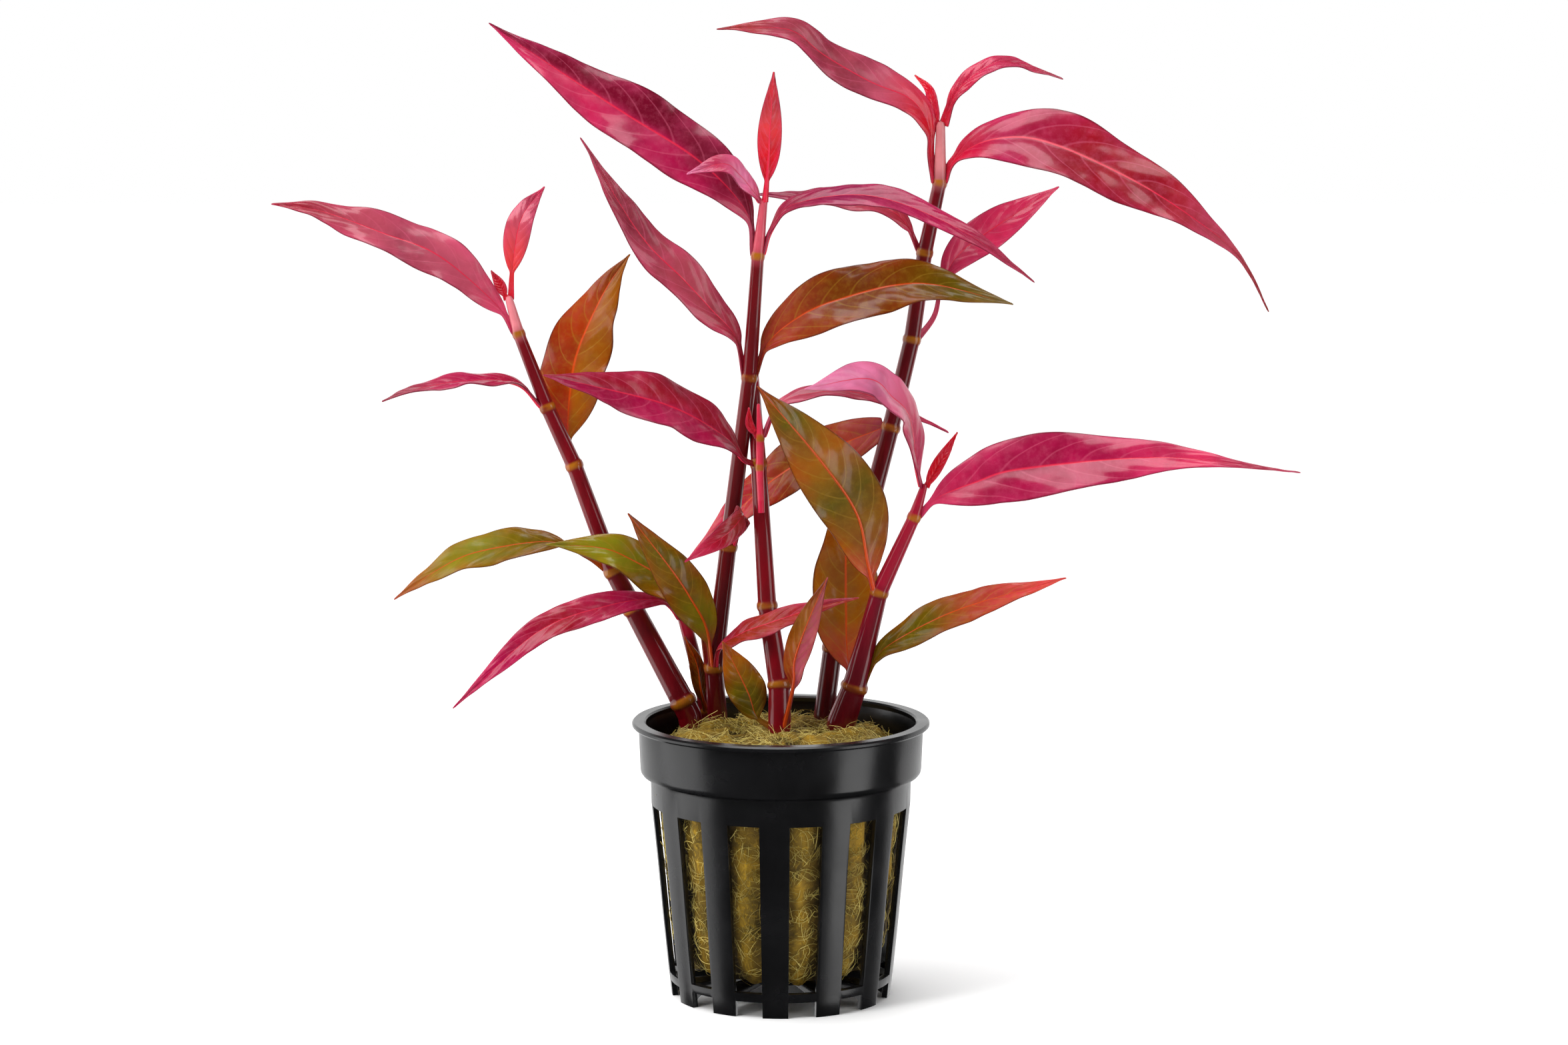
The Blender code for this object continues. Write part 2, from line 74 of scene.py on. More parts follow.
soft_light("key_light", (-420, -330, 560), (170, 420), 3.0)
bpy.context.object.visible_glossy = False
soft_light("left_box", (-600, -20, 100), (500, 900), 2.5)
soft_light("right_box", (560, -290, 100), (330, 900), 2.2)
soft_light("top_light", (-60, -160, 760), (620, 420), 3.6)
bpy.context.object.visible_diffuse = False

# The white wall behind, which shines in the rim and along the flanks of the pot and the stems.
soft_light("back_wall", (0, 540, 60), (2600, 900), 7.5)
bpy.context.object.visible_diffuse = False
bpy.context.object.visible_camera = False

# A very wide light from above whitens the sweep evenly to its far edge.
OVERHEAD_LEAN = (-14, -16, 0)
OVERHEAD_POWER = 3.5
OVERHEAD_SPREAD = 90
bpy.ops.object.light_add(type="SUN", rotation=[math.radians(turn) for turn in OVERHEAD_LEAN])
overhead = bpy.context.object
overhead.name = "overhead_light"
overhead.data.energy = OVERHEAD_POWER
overhead.data.angle = math.radians(OVERHEAD_SPREAD)
overhead.visible_glossy = False


def new_material(name):
    """A new material, its node tree and its Principled shader."""
    made = bpy.data.materials.new(name)
    made.use_nodes = True
    return made, made.node_tree, made.node_tree.nodes["Principled BSDF"]


def add_node(tree, kind, **settings):
    """A shader node with its settings, such as a texture's kind."""
    node = tree.nodes.new(kind)
    for key, value in settings.items():
        setattr(node, key, value)
    return node


def feed(tree, node, **values):
    """Fills a node's sockets by name, or by place as in _0, with a value or another socket."""
    for key, value in values.items():
        place = int(key[1:]) if key.startswith("_") else key.replace("_", " ")
        socket = node.inputs[place]
        if isinstance(value, bpy.types.NodeSocket):
            tree.links.new(value, socket)
        else:
            socket.default_value = value
    return node


# The room is white to the eye, and dimmer in what it lends to surfaces and to their gloss.
ROOM_ON_SURFACES, ROOM_IN_GLOSS = 0.2, 0.02
world = bpy.data.worlds.new("white_sweep")
bpy.context.scene.world = world
world.use_nodes = True
sky = world.node_tree.nodes["Background"]
ray = add_node(world.node_tree, "ShaderNodeLightPath")
dimmed = add_node(world.node_tree, "ShaderNodeMapRange")
feed(world.node_tree, dimmed, Value=ray.outputs["Is Glossy Ray"],
     To_Min=ROOM_ON_SURFACES, To_Max=ROOM_IN_GLOSS)
glow = add_node(world.node_tree, "ShaderNodeMapRange")
feed(world.node_tree, glow, Value=ray.outputs["Is Camera Ray"], To_Min=dimmed.outputs[0], To_Max=1.0)
feed(world.node_tree, sky, Color=(1, 1, 1, 1), Strength=glow.outputs[0])

FLOOR_SIZE = 6
PAPER_COLOUR = (0.95, 0.95, 0.95, 1)
bpy.ops.mesh.primitive_plane_add(size=FLOOR_SIZE)
floor = bpy.context.object
floor.name = "floor"
floor.visible_glossy = False
floor.visible_shadow = False
paper, paper_tree, paper_shader = new_material("white_paper")
feed(paper_tree, paper_shader, Base_Color=PAPER_COLOUR, Roughness=0.7)
floor.data.materials.append(paper)


# The net pot. One moulding of black plastic: thirteen ribs with tall windows between them, a
# plain collar with a flat rim, a low band, and a slotted floor that stands on short feet.
RIB_COUNT = 13
FIRST_RIB = math.radians(-3.1)
RIB_COLUMNS = 10
WINDOW_COLUMNS = 11
PITCH_COLUMNS = RIB_COLUMNS + WINDOW_COLUMNS
WALL_THICKNESS = 1.0
WALL_PROFILE = (
    (19.3, 0.0), (19.6, 2.8), (19.8, 4.3), (20.8, 14.2), (21.7, 24.2), (22.7, 34.1), (22.8, 38.2),
    (22.95, 38.7), (23.5, 39.1), (24.2, 39.3), (24.5, 39.7), (24.6, 40.3), (24.75, 44.0), (24.9, 47.9),
)
BAND_LOW, BAND_HIGH, WINDOW_TOP = 2.8, 4.3, 34.1
RIM_INNER, RIM_OUTER, RIM_LOW, RIM_TOP = 23.6, 26.0, 47.6, 48.6
RIM_CORNER, RIM_WELD = 0.3, 0.01
BASE_RADIUS, HUB_RADIUS, HUB_MIDDLE = 18.9, 8.0, 2.0
BASE_THICKNESS = 1.5
FIN_OUTER, FIN_INNER, FIN_TOP, FIN_WIDTH = 18.7, 14.6, 2.9, 1.0
ROUNDING = 0.22
ROUNDED_FROM, SMOOTH_BELOW = 50, 35
PLASTIC_DARK, PLASTIC_PALE = "#0b0b0c", "#131315"


def rib_share(x, y):
    """Where a direction falls in its rib's pitch: from -1 to 1 on the rib, beyond that between."""
    pitch = 2 * math.pi / RIB_COUNT
    angle = math.atan2(x, -y) - FIRST_RIB
    from_rib = (angle + pitch / 2) % pitch - pitch / 2
    return from_rib / (pitch * RIB_COLUMNS / PITCH_COLUMNS / 2)


def ring_of_columns(name, radius, height):
    """A circle with an edge at both sides of every rib, in edit mode with all of it selected."""
    pitch = 2 * math.pi / RIB_COUNT
    first_edge = FIRST_RIB - pitch * RIB_COLUMNS / PITCH_COLUMNS / 2 - math.pi / 2
    bpy.ops.object.select_all(action="DESELECT")
    bpy.ops.mesh.primitive_circle_add(
        vertices=RIB_COUNT * PITCH_COLUMNS, radius=radius * MM, rotation=(0, 0, first_edge)
    )
    ring = bpy.context.object
    ring.name = name
    bpy.ops.object.transform_apply(location=True, rotation=True, scale=True)
    ring.location.z = height * MM
    bpy.ops.object.transform_apply(location=True, rotation=True, scale=True)
    bpy.ops.object.mode_set(mode="EDIT")
    bpy.ops.mesh.select_mode(type="VERT")
    bpy.ops.mesh.select_all(action="SELECT")
    return ring


def extrude_profile(profile):
    """Carries the selected ring through the rest of a profile of (radius, height) pairs."""
    for (radius, height), (next_radius, next_height) in zip(profile, profile[1:]):
        rise = (next_height - height) * MM
        bpy.ops.mesh.extrude_region_move(TRANSFORM_OT_translate={"value": (0, 0, rise)})
        scale = next_radius / radius
        bpy.ops.transform.resize(value=(scale, scale, 1))


def remove_faces(piece, is_open):
    """Deletes the faces of a mesh in edit mode whose centre, in millimetres, is_open accepts."""
    bpy.ops.mesh.select_mode(type="FACE")
    bpy.ops.mesh.select_all(action="DESELECT")
    bpy.ops.object.mode_set(mode="OBJECT")
    for face in piece.data.polygons:
        face.select = is_open(face.center / MM)
    bpy.ops.object.mode_set(mode="EDIT")
    bpy.ops.mesh.delete(type="FACE")


def apply_modifiers(piece):
    """Applies a piece's modifiers in order."""
    bpy.context.view_layer.objects.active = piece
    for modifier in list(piece.modifiers):
        bpy.ops.object.modifier_apply(modifier=modifier.name)


def thicken_and_round(piece, thickness, rounding):
    """Gives an open skin its wall, inwards, and rounds the edges of every opening."""
    bpy.ops.mesh.select_all(action="SELECT")
    bpy.ops.mesh.normals_make_consistent(inside=False)
    bpy.ops.object.mode_set(mode="OBJECT")
    wall = piece.modifiers.new("wall", "SOLIDIFY")
    wall.thickness = thickness * MM
    wall.offset = -1
    wall.use_even_offset = True
    edges = piece.modifiers.new("edges", "BEVEL")
    edges.width = rounding * MM
    edges.segments = 2
    edges.limit_method = "ANGLE"
    edges.angle_limit = math.radians(ROUNDED_FROM)
    apply_modifiers(piece)


wall = ring_of_columns("net_pot", *WALL_PROFILE[0])
extrude_profile(WALL_PROFILE)


def wall_is_open(centre):
    """True between the ribs, in the windows and below the band."""
    between = abs(rib_share(centre.x, centre.y)) > 1
    return between and (centre.z < BAND_LOW or BAND_HIGH < centre.z < WINDOW_TOP)


remove_faces(wall, wall_is_open)
thicken_and_round(wall, WALL_THICKNESS, ROUNDING)

rim = ring_of_columns("rim", RIM_INNER, RIM_LOW)
extrude_profile((
    (RIM_INNER, RIM_LOW), (RIM_OUTER - RIM_CORNER, RIM_LOW), (RIM_OUTER, RIM_LOW + RIM_CORNER),
    (RIM_OUTER, RIM_TOP - RIM_CORNER), (RIM_OUTER - RIM_CORNER, RIM_TOP),
    (RIM_INNER + RIM_CORNER, RIM_TOP), (RIM_INNER, RIM_TOP - RIM_CORNER), (RIM_INNER, RIM_LOW),
))
bpy.ops.mesh.select_all(action="SELECT")
bpy.ops.mesh.remove_doubles(threshold=RIM_WELD * MM)
bpy.ops.mesh.normals_make_consistent(inside=False)
bpy.ops.object.mode_set(mode="OBJECT")


def base_is_open(centre):
    """True in the slots of the floor, which lie between the ribs and outside the hub."""
    return centre.xy.length > HUB_RADIUS and abs(rib_share(centre.x, centre.y)) > 1


base = ring_of_columns("base", BASE_RADIUS, BAND_HIGH)
extrude_profile(((BASE_RADIUS, BAND_HIGH), (HUB_RADIUS, BAND_HIGH), (HUB_MIDDLE, BAND_HIGH)))
bpy.ops.mesh.merge(type="CENTER")
remove_faces(base, base_is_open)
thicken_and_round(base, BASE_THICKNESS, ROUNDING)

# One fin under each rib, from the foot in towards the hub, lowest at the foot.
bpy.ops.object.select_all(action="DESELECT")
bpy.ops.mesh.primitive_cube_add(size=1)
fin = bpy.context.object
for vertex in fin.data.vertices:
    inner = vertex.co.y > 0
    low = vertex.co.z < 0 and not inner
    vertex.co.x *= FIN_WIDTH * MM
    vertex.co.y = -(FIN_INNER if inner else FIN_OUTER) * MM
    vertex.co.z = (0.0 if low else FIN_TOP) * MM
fins = []
for rib in range(RIB_COUNT):
    copy = fin.copy()
    copy.data = fin.data.copy()
    copy.rotation_euler.z = FIRST_RIB + rib * 2 * math.pi / RIB_COUNT
    bpy.context.collection.objects.link(copy)
    fins.append(copy)
bpy.data.objects.remove(fin)


def join_pieces(main, others=()):
    """Joins pieces into the first one, leaves it at the origin and shades it smooth by angle."""
    bpy.ops.object.select_all(action="DESELECT")
    for piece in [main, *others]:
        piece.select_set(True)
    bpy.context.view_layer.objects.active = main
    bpy.ops.object.transform_apply(location=True, rotation=True, scale=True)
    if others:
        bpy.ops.object.join()
    bpy.ops.object.shade_smooth_by_angle(angle=math.radians(SMOOTH_BELOW))


join_pieces(wall, [rim, base, *fins])


def hex_colour(code):
    """An sRGB colour such as "#a8174e" as linear red, green, blue and alpha."""
    parts = [int(code[i:i + 2], 16) / 255 for i in (1, 3, 5)]
    return [p / 12.92 if p < 0.04045 else ((p + 0.055) / 1.055) ** 2.4 for p in parts] + [1.0]


def mottle_group():
    """A shader group: soft patches and fine grain, each as a value from 0 to 1."""
    tree = bpy.data.node_groups.new("surface_mottle", "ShaderNodeTree")
    for name, kind in (("Vector", "NodeSocketVector"), ("Patch Scale", "NodeSocketFloat"),
                       ("Grain Scale", "NodeSocketFloat")):
        tree.interface.new_socket(name, in_out="INPUT", socket_type=kind)
    for name in ("Patches", "Grain"):
        tree.interface.new_socket(name, in_out="OUTPUT", socket_type="NodeSocketFloat")
    entry = tree.nodes.new("NodeGroupInput")
    leave = tree.nodes.new("NodeGroupOutput")
    patches = feed(tree, add_node(tree, "ShaderNodeTexNoise"), Vector=entry.outputs["Vector"],
                   Scale=entry.outputs["Patch Scale"], Detail=3.0, Roughness=0.6, Distortion=0.4)
    grain = feed(tree, add_node(tree, "ShaderNodeTexNoise"), Vector=entry.outputs["Vector"],
                 Scale=entry.outputs["Grain Scale"], Detail=4.0, Roughness=0.7)
    spread = feed(tree, add_node(tree, "ShaderNodeMapRange"), Value=patches.outputs["Fac"],
                  From_Min=0.3, From_Max=0.7)
    feed(tree, leave, Patches=spread.outputs[0], Grain=grain.outputs["Fac"])
    return tree


MOTTLE = mottle_group()


def place_mottle(tree, vector, patch_scale, grain_scale):
    """Places the mottle group in a material, on the coordinates it is given."""
    group = add_node(tree, "ShaderNodeGroup")
    group.node_tree = MOTTLE
    return feed(tree, group, Vector=vector, Patch_Scale=patch_scale, Grain_Scale=grain_scale)


def mixed(tree, factor, first, second):
    """A colour mix; first and second are colours or sockets."""
    node = add_node(tree, "ShaderNodeMix", data_type="RGBA")
    feed(tree, node, _0=factor, _6=first, _7=second)
    return node.outputs[2]


def ranged(tree, value, low, high, to_low, to_high):
    """A value carried from one range to another, clamped."""
    node = add_node(tree, "ShaderNodeMapRange")
    feed(tree, node, Value=value, From_Min=low, From_Max=high, To_Min=to_low, To_Max=to_high)
    return node.outputs[0]


def scaled(tree, value, top):
    """A value from 0 to 1 carried to 0 to top."""
    return ranged(tree, value, 0, 1, 0, top)


def bumped(tree, height, strength, distance):
    """A Bump node's normal from a height; distance is in millimetres."""
    node = add_node(tree, "ShaderNodeBump")
    feed(tree, node, Height=height, Strength=strength, Distance=distance * MM)
    return node.outputs[0]


plastic, tree, shader = new_material("black_moulded_plastic")
where = add_node(tree, "ShaderNodeTexCoord").outputs["Object"]
mottle = place_mottle(tree, where, patch_scale=90.0, grain_scale=1500.0)
feed(
    tree, shader,
    Base_Color=mixed(tree, mottle.outputs["Patches"], hex_colour(PLASTIC_DARK), hex_colour(PLASTIC_PALE)),
    Roughness=ranged(tree, mottle.outputs["Patches"], 0, 1, 0.2, 0.3),
    Normal=bumped(tree, mottle.outputs["Grain"], 0.2, 0.06),
)
wall.data.materials.clear()
wall.data.materials.append(plastic)
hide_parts("pot")
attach(wall, "root")


# The rockwool plug. A pad of matted mineral fibre, stuffed into the pot and mounded at the top,
# where it comes up a little below the rim. It is lumpy, and loose fibres lie on it all over.
PLUG_PROFILE = (
    (12.5, 4.7), (15.8, 5.3), (18.0, 7.8), (18.8, 13.0), (19.6, 20.0), (20.4, 27.0), (20.9, 34.0),
    (20.9, 38.5), (20.6, 41.8), (19.4, 44.3), (17.4, 45.8), (14.0, 46.4), (10.0, 46.5), (5.0, 46.5),
)
PLUG_COLUMNS = 150
MOUND_FROM = 43.5
UNDERSIDE_TOP = 5.5
ROLLS, LUMPS, FOLDS, TUFTS = 0.55, 0.5, 0.8, 0.2
LUMP_SCALE, FOLD_ACROSS, FOLD_UP, TUFT_SCALE = 0.2, 0.3, 0.1, 0.8
MOUND_RISE, MOUND_LUMPS, MOUND_FOLDS, MOUND_TUFTS = 0.6, 1.1, 2.2, 0.3
WOOL_SHADOW, WOOL_DARK, WOOL_WARM, WOOL_PALE_AND_HIGHLIGHT = "#2c1e04", "#4c3e02", "#927006", "#c29a1e"


def close_openings():
    """Fills every opening of the mesh in edit mode, turns its faces outwards and leaves edit mode."""
    bpy.ops.mesh.select_mode(type="EDGE")
    bpy.ops.mesh.select_all(action="DESELECT")
    bpy.ops.mesh.select_non_manifold()
    bpy.ops.mesh.edge_face_add()
    bpy.ops.mesh.select_all(action="SELECT")
    bpy.ops.mesh.normals_make_consistent(inside=False)
    bpy.ops.object.mode_set(mode="OBJECT")


bpy.ops.object.select_all(action="DESELECT")
bpy.ops.mesh.primitive_circle_add(vertices=PLUG_COLUMNS, radius=PLUG_PROFILE[0][0] * MM)
plug = bpy.context.object
plug.name = "rockwool"
plug.location.z = PLUG_PROFILE[0][1] * MM
bpy.ops.object.transform_apply(location=True, rotation=True, scale=True)
bpy.ops.object.mode_set(mode="EDIT")
bpy.ops.mesh.select_mode(type="VERT")
bpy.ops.mesh.select_all(action="SELECT")
extrude_profile(PLUG_PROFILE)
bpy.ops.mesh.merge(type="CENTER")
close_openings()
finer = plug.modifiers.new("finer", "SUBSURF")
finer.levels = finer.render_levels = 1
apply_modifiers(plug)


def wool_lump(point):
    """How far the wool stands out at a point, in millimetres: rolls in the windows, lumps, tufts."""
    lumps = noise.noise(point * LUMP_SCALE + Vector((3, 1, 7)))
    upright = Vector((point.x * FOLD_ACROSS, point.y * FOLD_ACROSS, point.z * FOLD_UP))
    folds = abs(noise.noise(upright + Vector((9, 4, 2))))
    tufts = noise.noise(point * TUFT_SCALE)
    if point.z > MOUND_FROM:
        return MOUND_LUMPS * lumps - MOUND_FOLDS * folds + MOUND_RISE + MOUND_TUFTS * tufts
    half_pitch = PITCH_COLUMNS / RIB_COLUMNS
    roll = math.cos(math.pi * (half_pitch - abs(rib_share(point.x, point.y))) / half_pitch)
    return ROLLS * roll + LUMPS * lumps - FOLDS * folds + TUFTS * tufts


heights = plug.data.attributes.new("lump", "FLOAT", "POINT")
for vertex in plug.data.vertices:
    point = vertex.co / MM
    lump = wool_lump(point)
    heights.data[vertex.index].value = lump
    if point.z > UNDERSIDE_TOP:
        vertex.co = (point + vertex.normal * lump) * MM

# Loose fibres: curved threads that lie on the wool in every direction, some on the mound with
# one end up.
FIBRE_COUNT = 4800
FIBRE_STEPS = 6
FIBRES_FROM = 6
FIBRE_LENGTHS, FIBRE_RADII = (1.6, 5.0), (0.02, 0.065)
FIBRE_CURL, FIBRE_SWING, FIBRE_BEND = 1.3, 0.3, 3.0
FIBRE_ARCHES, FIBRE_ARCH_HEIGHT = (0.02, 0.35), 1.6
FIBRE_SINK = 0.05
STRAY_SHARE, STRAY_RISES = 0.3, (0.5, 1.9)
THREAD_CORNERS = (0, 2.094, 4.189)
THREAD_DARK, THREAD_PALE = "#6a5404", "#dac66c"
rng = random.Random(13)
plug.data.update()
surface = [face for face in plug.data.polygons if face.center.z > FIBRES_FROM * MM]
areas = [face.area / MM ** 2 for face in surface]
points, faces = [], []
for face in rng.choices(surface, areas, k=FIBRE_COUNT):
    root, normal = face.center / MM, face.normal.copy()
    across = normal.cross(Vector([rng.uniform(-1, 1) for _ in range(3)])).normalized()
    length = rng.uniform(*FIBRE_LENGTHS)
    curl = rng.uniform(-FIBRE_CURL, FIBRE_CURL)
    arch = rng.uniform(*FIBRE_ARCHES)
    radius = rng.uniform(*FIBRE_RADII)
    on_mound = root.z > MOUND_FROM
    stray = rng.uniform(*STRAY_RISES) if on_mound and rng.random() < STRAY_SHARE else 0.0
    side = normal.cross(across)
    first = len(points)
    for step in range(FIBRE_STEPS + 1):
        share = step / FIBRE_STEPS
        swing = curl * math.sin(share * FIBRE_BEND)
        centre = root + across * length * (share - 0.5) + side * swing * length * FIBRE_SWING
        lift = arch * math.sin(math.pi * share) * FIBRE_ARCH_HEIGHT + stray * share * share
        centre += normal * (lift - FIBRE_SINK)
        for angle in THREAD_CORNERS:
            outward = normal * math.cos(angle) + side * math.sin(angle)
            points.append((centre + outward * radius) * MM)
    last = first + FIBRE_STEPS * 3
    for ring in range(first, last, 3):
        for k in range(3):
            a, b = ring + k, ring + (k + 1) % 3
            faces.append((a, b, b + 3, a + 3))
    faces.append((first + 2, first + 1, first))
    faces.append((last, last + 1, last + 2))
fibre_mesh = bpy.data.meshes.new("wool_fibres")
fibre_mesh.from_pydata(points, [], faces)
fibres = bpy.data.objects.new("wool_fibres", fibre_mesh)
bpy.context.collection.objects.link(fibres)

wool, tree, shader = new_material("matted_wool")
where = add_node(tree, "ShaderNodeTexCoord").outputs["Object"]
mottle = place_mottle(tree, where, patch_scale=150.0, grain_scale=900.0)
lump = add_node(tree, "ShaderNodeAttribute", attribute_name="lump").outputs["Fac"]
matted = feed(tree, add_node(tree, "ShaderNodeTexNoise"), Vector=where, Scale=520.0, Detail=5.0,
              Roughness=0.65, Distortion=2.5)
wool_colour = mixed(tree, mottle.outputs["Patches"], hex_colour(WOOL_DARK), hex_colour(WOOL_WARM))
# Pale flecks on the raised strands of the matted texture, which also drives the bump: pale fibres, and
# partly a painted highlight on them.
pale_and_highlight = ranged(tree, matted.outputs["Fac"], 0.5, 0.74, 0, 0.7)
wool_colour = mixed(tree, pale_and_highlight, wool_colour, hex_colour(WOOL_PALE_AND_HIGHLIGHT))
# Painted shade: the wool is darkened in its hollows, where the lump value is low.
hollow_shade = ranged(tree, lump, 0.45, -0.8, 0, 0.9)
wool_colour = mixed(tree, hollow_shade, wool_colour, hex_colour(WOOL_SHADOW))
feed(tree, shader, Base_Color=wool_colour, Roughness=0.8,
     Normal=bumped(tree, matted.outputs["Fac"], 1.0, 0.5))
plug.data.materials.append(wool)

thread, tree, shader = new_material("wool_thread")
where = add_node(tree, "ShaderNodeTexCoord").outputs["Object"]
mottle = place_mottle(tree, where, patch_scale=120.0, grain_scale=600.0)
feed(tree, shader, Roughness=0.55,
     Base_Color=mixed(tree, mottle.outputs["Patches"], hex_colour(THREAD_DARK), hex_colour(THREAD_PALE)))
fibres.data.materials.append(thread)
join_pieces(plug)
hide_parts("rockwool_plug")
for piece in (plug, fibres):
    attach(piece, "root")


# The stems. Six cut shoots stand in the wool and one side shoot grows from the middle one. Each
# is a smooth, glossy, jointed tube, dark crimson low down and pinker at the top, with a swollen
# tan ring at every node.
STEMS = {
    "left": [
        (-16.2, 10.0, 47.4, 2.15), (-17.4, 10.0, 50.0, 2.15), (-26.2, 12.0, 66.4, 1.85),
        (-29.7, 12.5, 73.0, 1.65), (-36.6, 14.0, 91.7, 1.45), (-41.3, 14.5, 102.0, 1.3),
        (-46.3, 15.0, 115.0, 1.05), (-47.9, 15.0, 121.0, 0.7),
    ],
    "left_centre": [
        (-11.3, 10.7, 47.4, 1.75), (-11.9, 10.3, 56.0, 1.65), (-9.3, 9.5, 77.8, 1.5),
        (-5.5, 7.2, 108.0, 1.3), (-4.0, 5.5, 129.3, 1.1), (-3.0, 5.5, 138.6, 0.7),
    ],
    "centre": [
        (-0.2, -1.3, 47.4, 2.05), (-0.3, 0.5, 54.7, 1.9), (-2.4, 3.5, 68.2, 1.65),
        (-3.9, 6.8, 92.8, 1.35), (-5.0, 13.2, 107.8, 1.1),
    ],
    "centre_shoot": [(-3.7, 3.9, 92.6, 0.7), (-3.6, 3.1, 97.9, 0.7), (-3.9, 2.9, 103.5, 0.3)],
    "right_back": [
        (7.6, 9.5, 47.4, 1.8), (9.2, 10.5, 59.5, 1.75), (13.9, 12.0, 77.5, 1.65),
        (19.4, 13.5, 98.5, 1.55), (23.1, 14.5, 114.0, 1.45), (25.3, 15.0, 129.3, 1.35),
        (27.9, 15.0, 141.6, 1.2), (28.0, 15.0, 151.5, 0.8),
    ],
    "right_front": [
        (10.6, 3.0, 47.4, 2.55), (12.9, 3.0, 53.9, 2.15), (17.2, 2.0, 70.8, 1.5),
        (23.2, 1.0, 84.2, 1.1), (24.8, 0.8, 89.4, 0.65),
    ],
    "short": [(-13.2, 15.4, 47.4, 1.4), (-15.0, 15.0, 55.4, 1.25), (-17.2, 14.0, 64.1, 1.15)],
}
ROOT_DEPTH, ROOT_LEAN, ROOT_THINNING = 8.0, 0.92, 0.85
STEM_AROUND = 18
STEM_STEP, STEM_LEAST_STEPS = 0.4, 4
NODE_SWELL, NODE_REACH = 0.15, 0.62
SHOULDER_REACH, SHOULDER_WIDTH = 0.8, 0.7
TIP_REACH, TIP_RADIUS = 1.1, 0.02
STEM_COLOURS = {
    "left": ("#5c020c", "#700412", "#e08088"), "left_centre": ("#500208", "#68040e", "#c85060"),
    "centre": ("#700310", "#680410", "#c41a3c"), "centre_shoot": ("#cc1c40", "#cc1c40", "#d4304c"),
    "right_back": ("#480205", "#5e0410", "#d07c80"), "right_front": ("#560208", "#740620", "#980f2c"),
    "short": ("#5c020c", "#780414", "#b01030"),
}
NODE_TAN, STEM_SHADOW, STEM_STREAK, STEM_FLANK_SHADE_AND_SHEEN = "#a0600e", "#2a0206", "#98081a", "#82061c"
TAN_FROM, TAN_RATE = 0.35, 2.2
TAN_LEAST, TAN_MEAN, TAN_WEAR = 0.2, 0.75, 0.9
WEAR_AROUND = 5
LOW_UNTIL, UPPER_FROM, YOUNG_BLEND = 0.1, 0.12, 0.02
YOUNG_FROM = {"left": 0.92, "left_centre": 0.9, "centre": 0.97, "centre_shoot": 0.0,
              "right_back": 0.91, "right_front": 0.62, "short": 0.85}


def placed_grid(name, across_steps, along_steps, place):
    """A grid whose points are put where place(across, along) says, in millimetres.

    across runs from -1 to 1 and along from 0 to 1. The grid keeps its flat UV map.
    """
    bpy.ops.object.select_all(action="DESELECT")
    bpy.ops.mesh.primitive_grid_add(x_subdivisions=across_steps, y_subdivisions=along_steps, size=2)
    piece = bpy.context.object
    piece.name = name
    for vertex in piece.data.vertices:
        vertex.co = place(vertex.co.x, (vertex.co.y + 1) / 2) * MM
    return piece


def paint(piece, name, colour_at):
    """Stores a colour for every corner of a mesh, from its place on the UV map."""
    layer = piece.data.color_attributes.new(name, "FLOAT_COLOR", "CORNER")
    uv = piece.data.uv_layers.active.uv
    for i in range(len(uv)):
        layer.data[i].color = colour_at(uv[i].vector.x, uv[i].vector.y)


def blend_colours(stops, share):
    """A colour along a list of (place, colour) stops, both ends held."""
    for (low, first), (high, second) in zip(stops, stops[1:]):
        if share <= high:
            part = min(max((share - low) / max(high - low, 1e-6), 0.0), 1.0)
            return [a + (b - a) * part for a, b in zip(first, second)]
    return stops[-1][1]


def stem_stations(nodes):
    """Close-set (point, radius, nearness to a node) stations along a stem, root first."""
    points = [Vector(node[:3]) for node in nodes]
    radii = [node[3] for node in nodes]
    foot = points[0]
    points.insert(0, Vector((foot.x * ROOT_LEAN, foot.y * ROOT_LEAN, foot.z - ROOT_DEPTH)))
    radii.insert(0, radii[0] * ROOT_THINNING)
    stations = []
    for i, (low, high) in enumerate(zip(points, points[1:])):
        length = (high - low).length
        steps = max(STEM_LEAST_STEPS, round(length / STEM_STEP))
        for k in range(steps):
            share = k / steps
            radius = radii[i] + (radii[i + 1] - radii[i]) * share
            near = 0.0
            # The foot and the tip have no ring, but on a stem of three points the foot has one.
            for j, end in ((i, 0.0), (i + 1, 1.0)):
                if 1 < j < len(points) - 1 or (j == 1 and len(points) == 4):
                    away = abs(share - end) * length / NODE_REACH
                    near = max(near, math.exp(-away ** 4))
            stations.append((low.lerp(high, share), radius * (1 + NODE_SWELL * near), near))
    stations.append((points[-1], radii[-1], 0.0))
    tip_way = (points[-1] - points[-2]).normalized()
    shoulder = points[-1] + tip_way * radii[-1] * SHOULDER_REACH
    stations.append((shoulder, radii[-1] * SHOULDER_WIDTH, 0.0))
    stations.append((points[-1] + tip_way * radii[-1] * TIP_REACH, TIP_RADIUS, 0.0))
    return stations


def close_tube(weld):
    """Welds the seam of a grid that is rolled into a tube, and closes both ends."""
    bpy.ops.object.mode_set(mode="EDIT")
    bpy.ops.mesh.select_all(action="SELECT")
    bpy.ops.mesh.remove_doubles(threshold=weld * MM)
    close_openings()


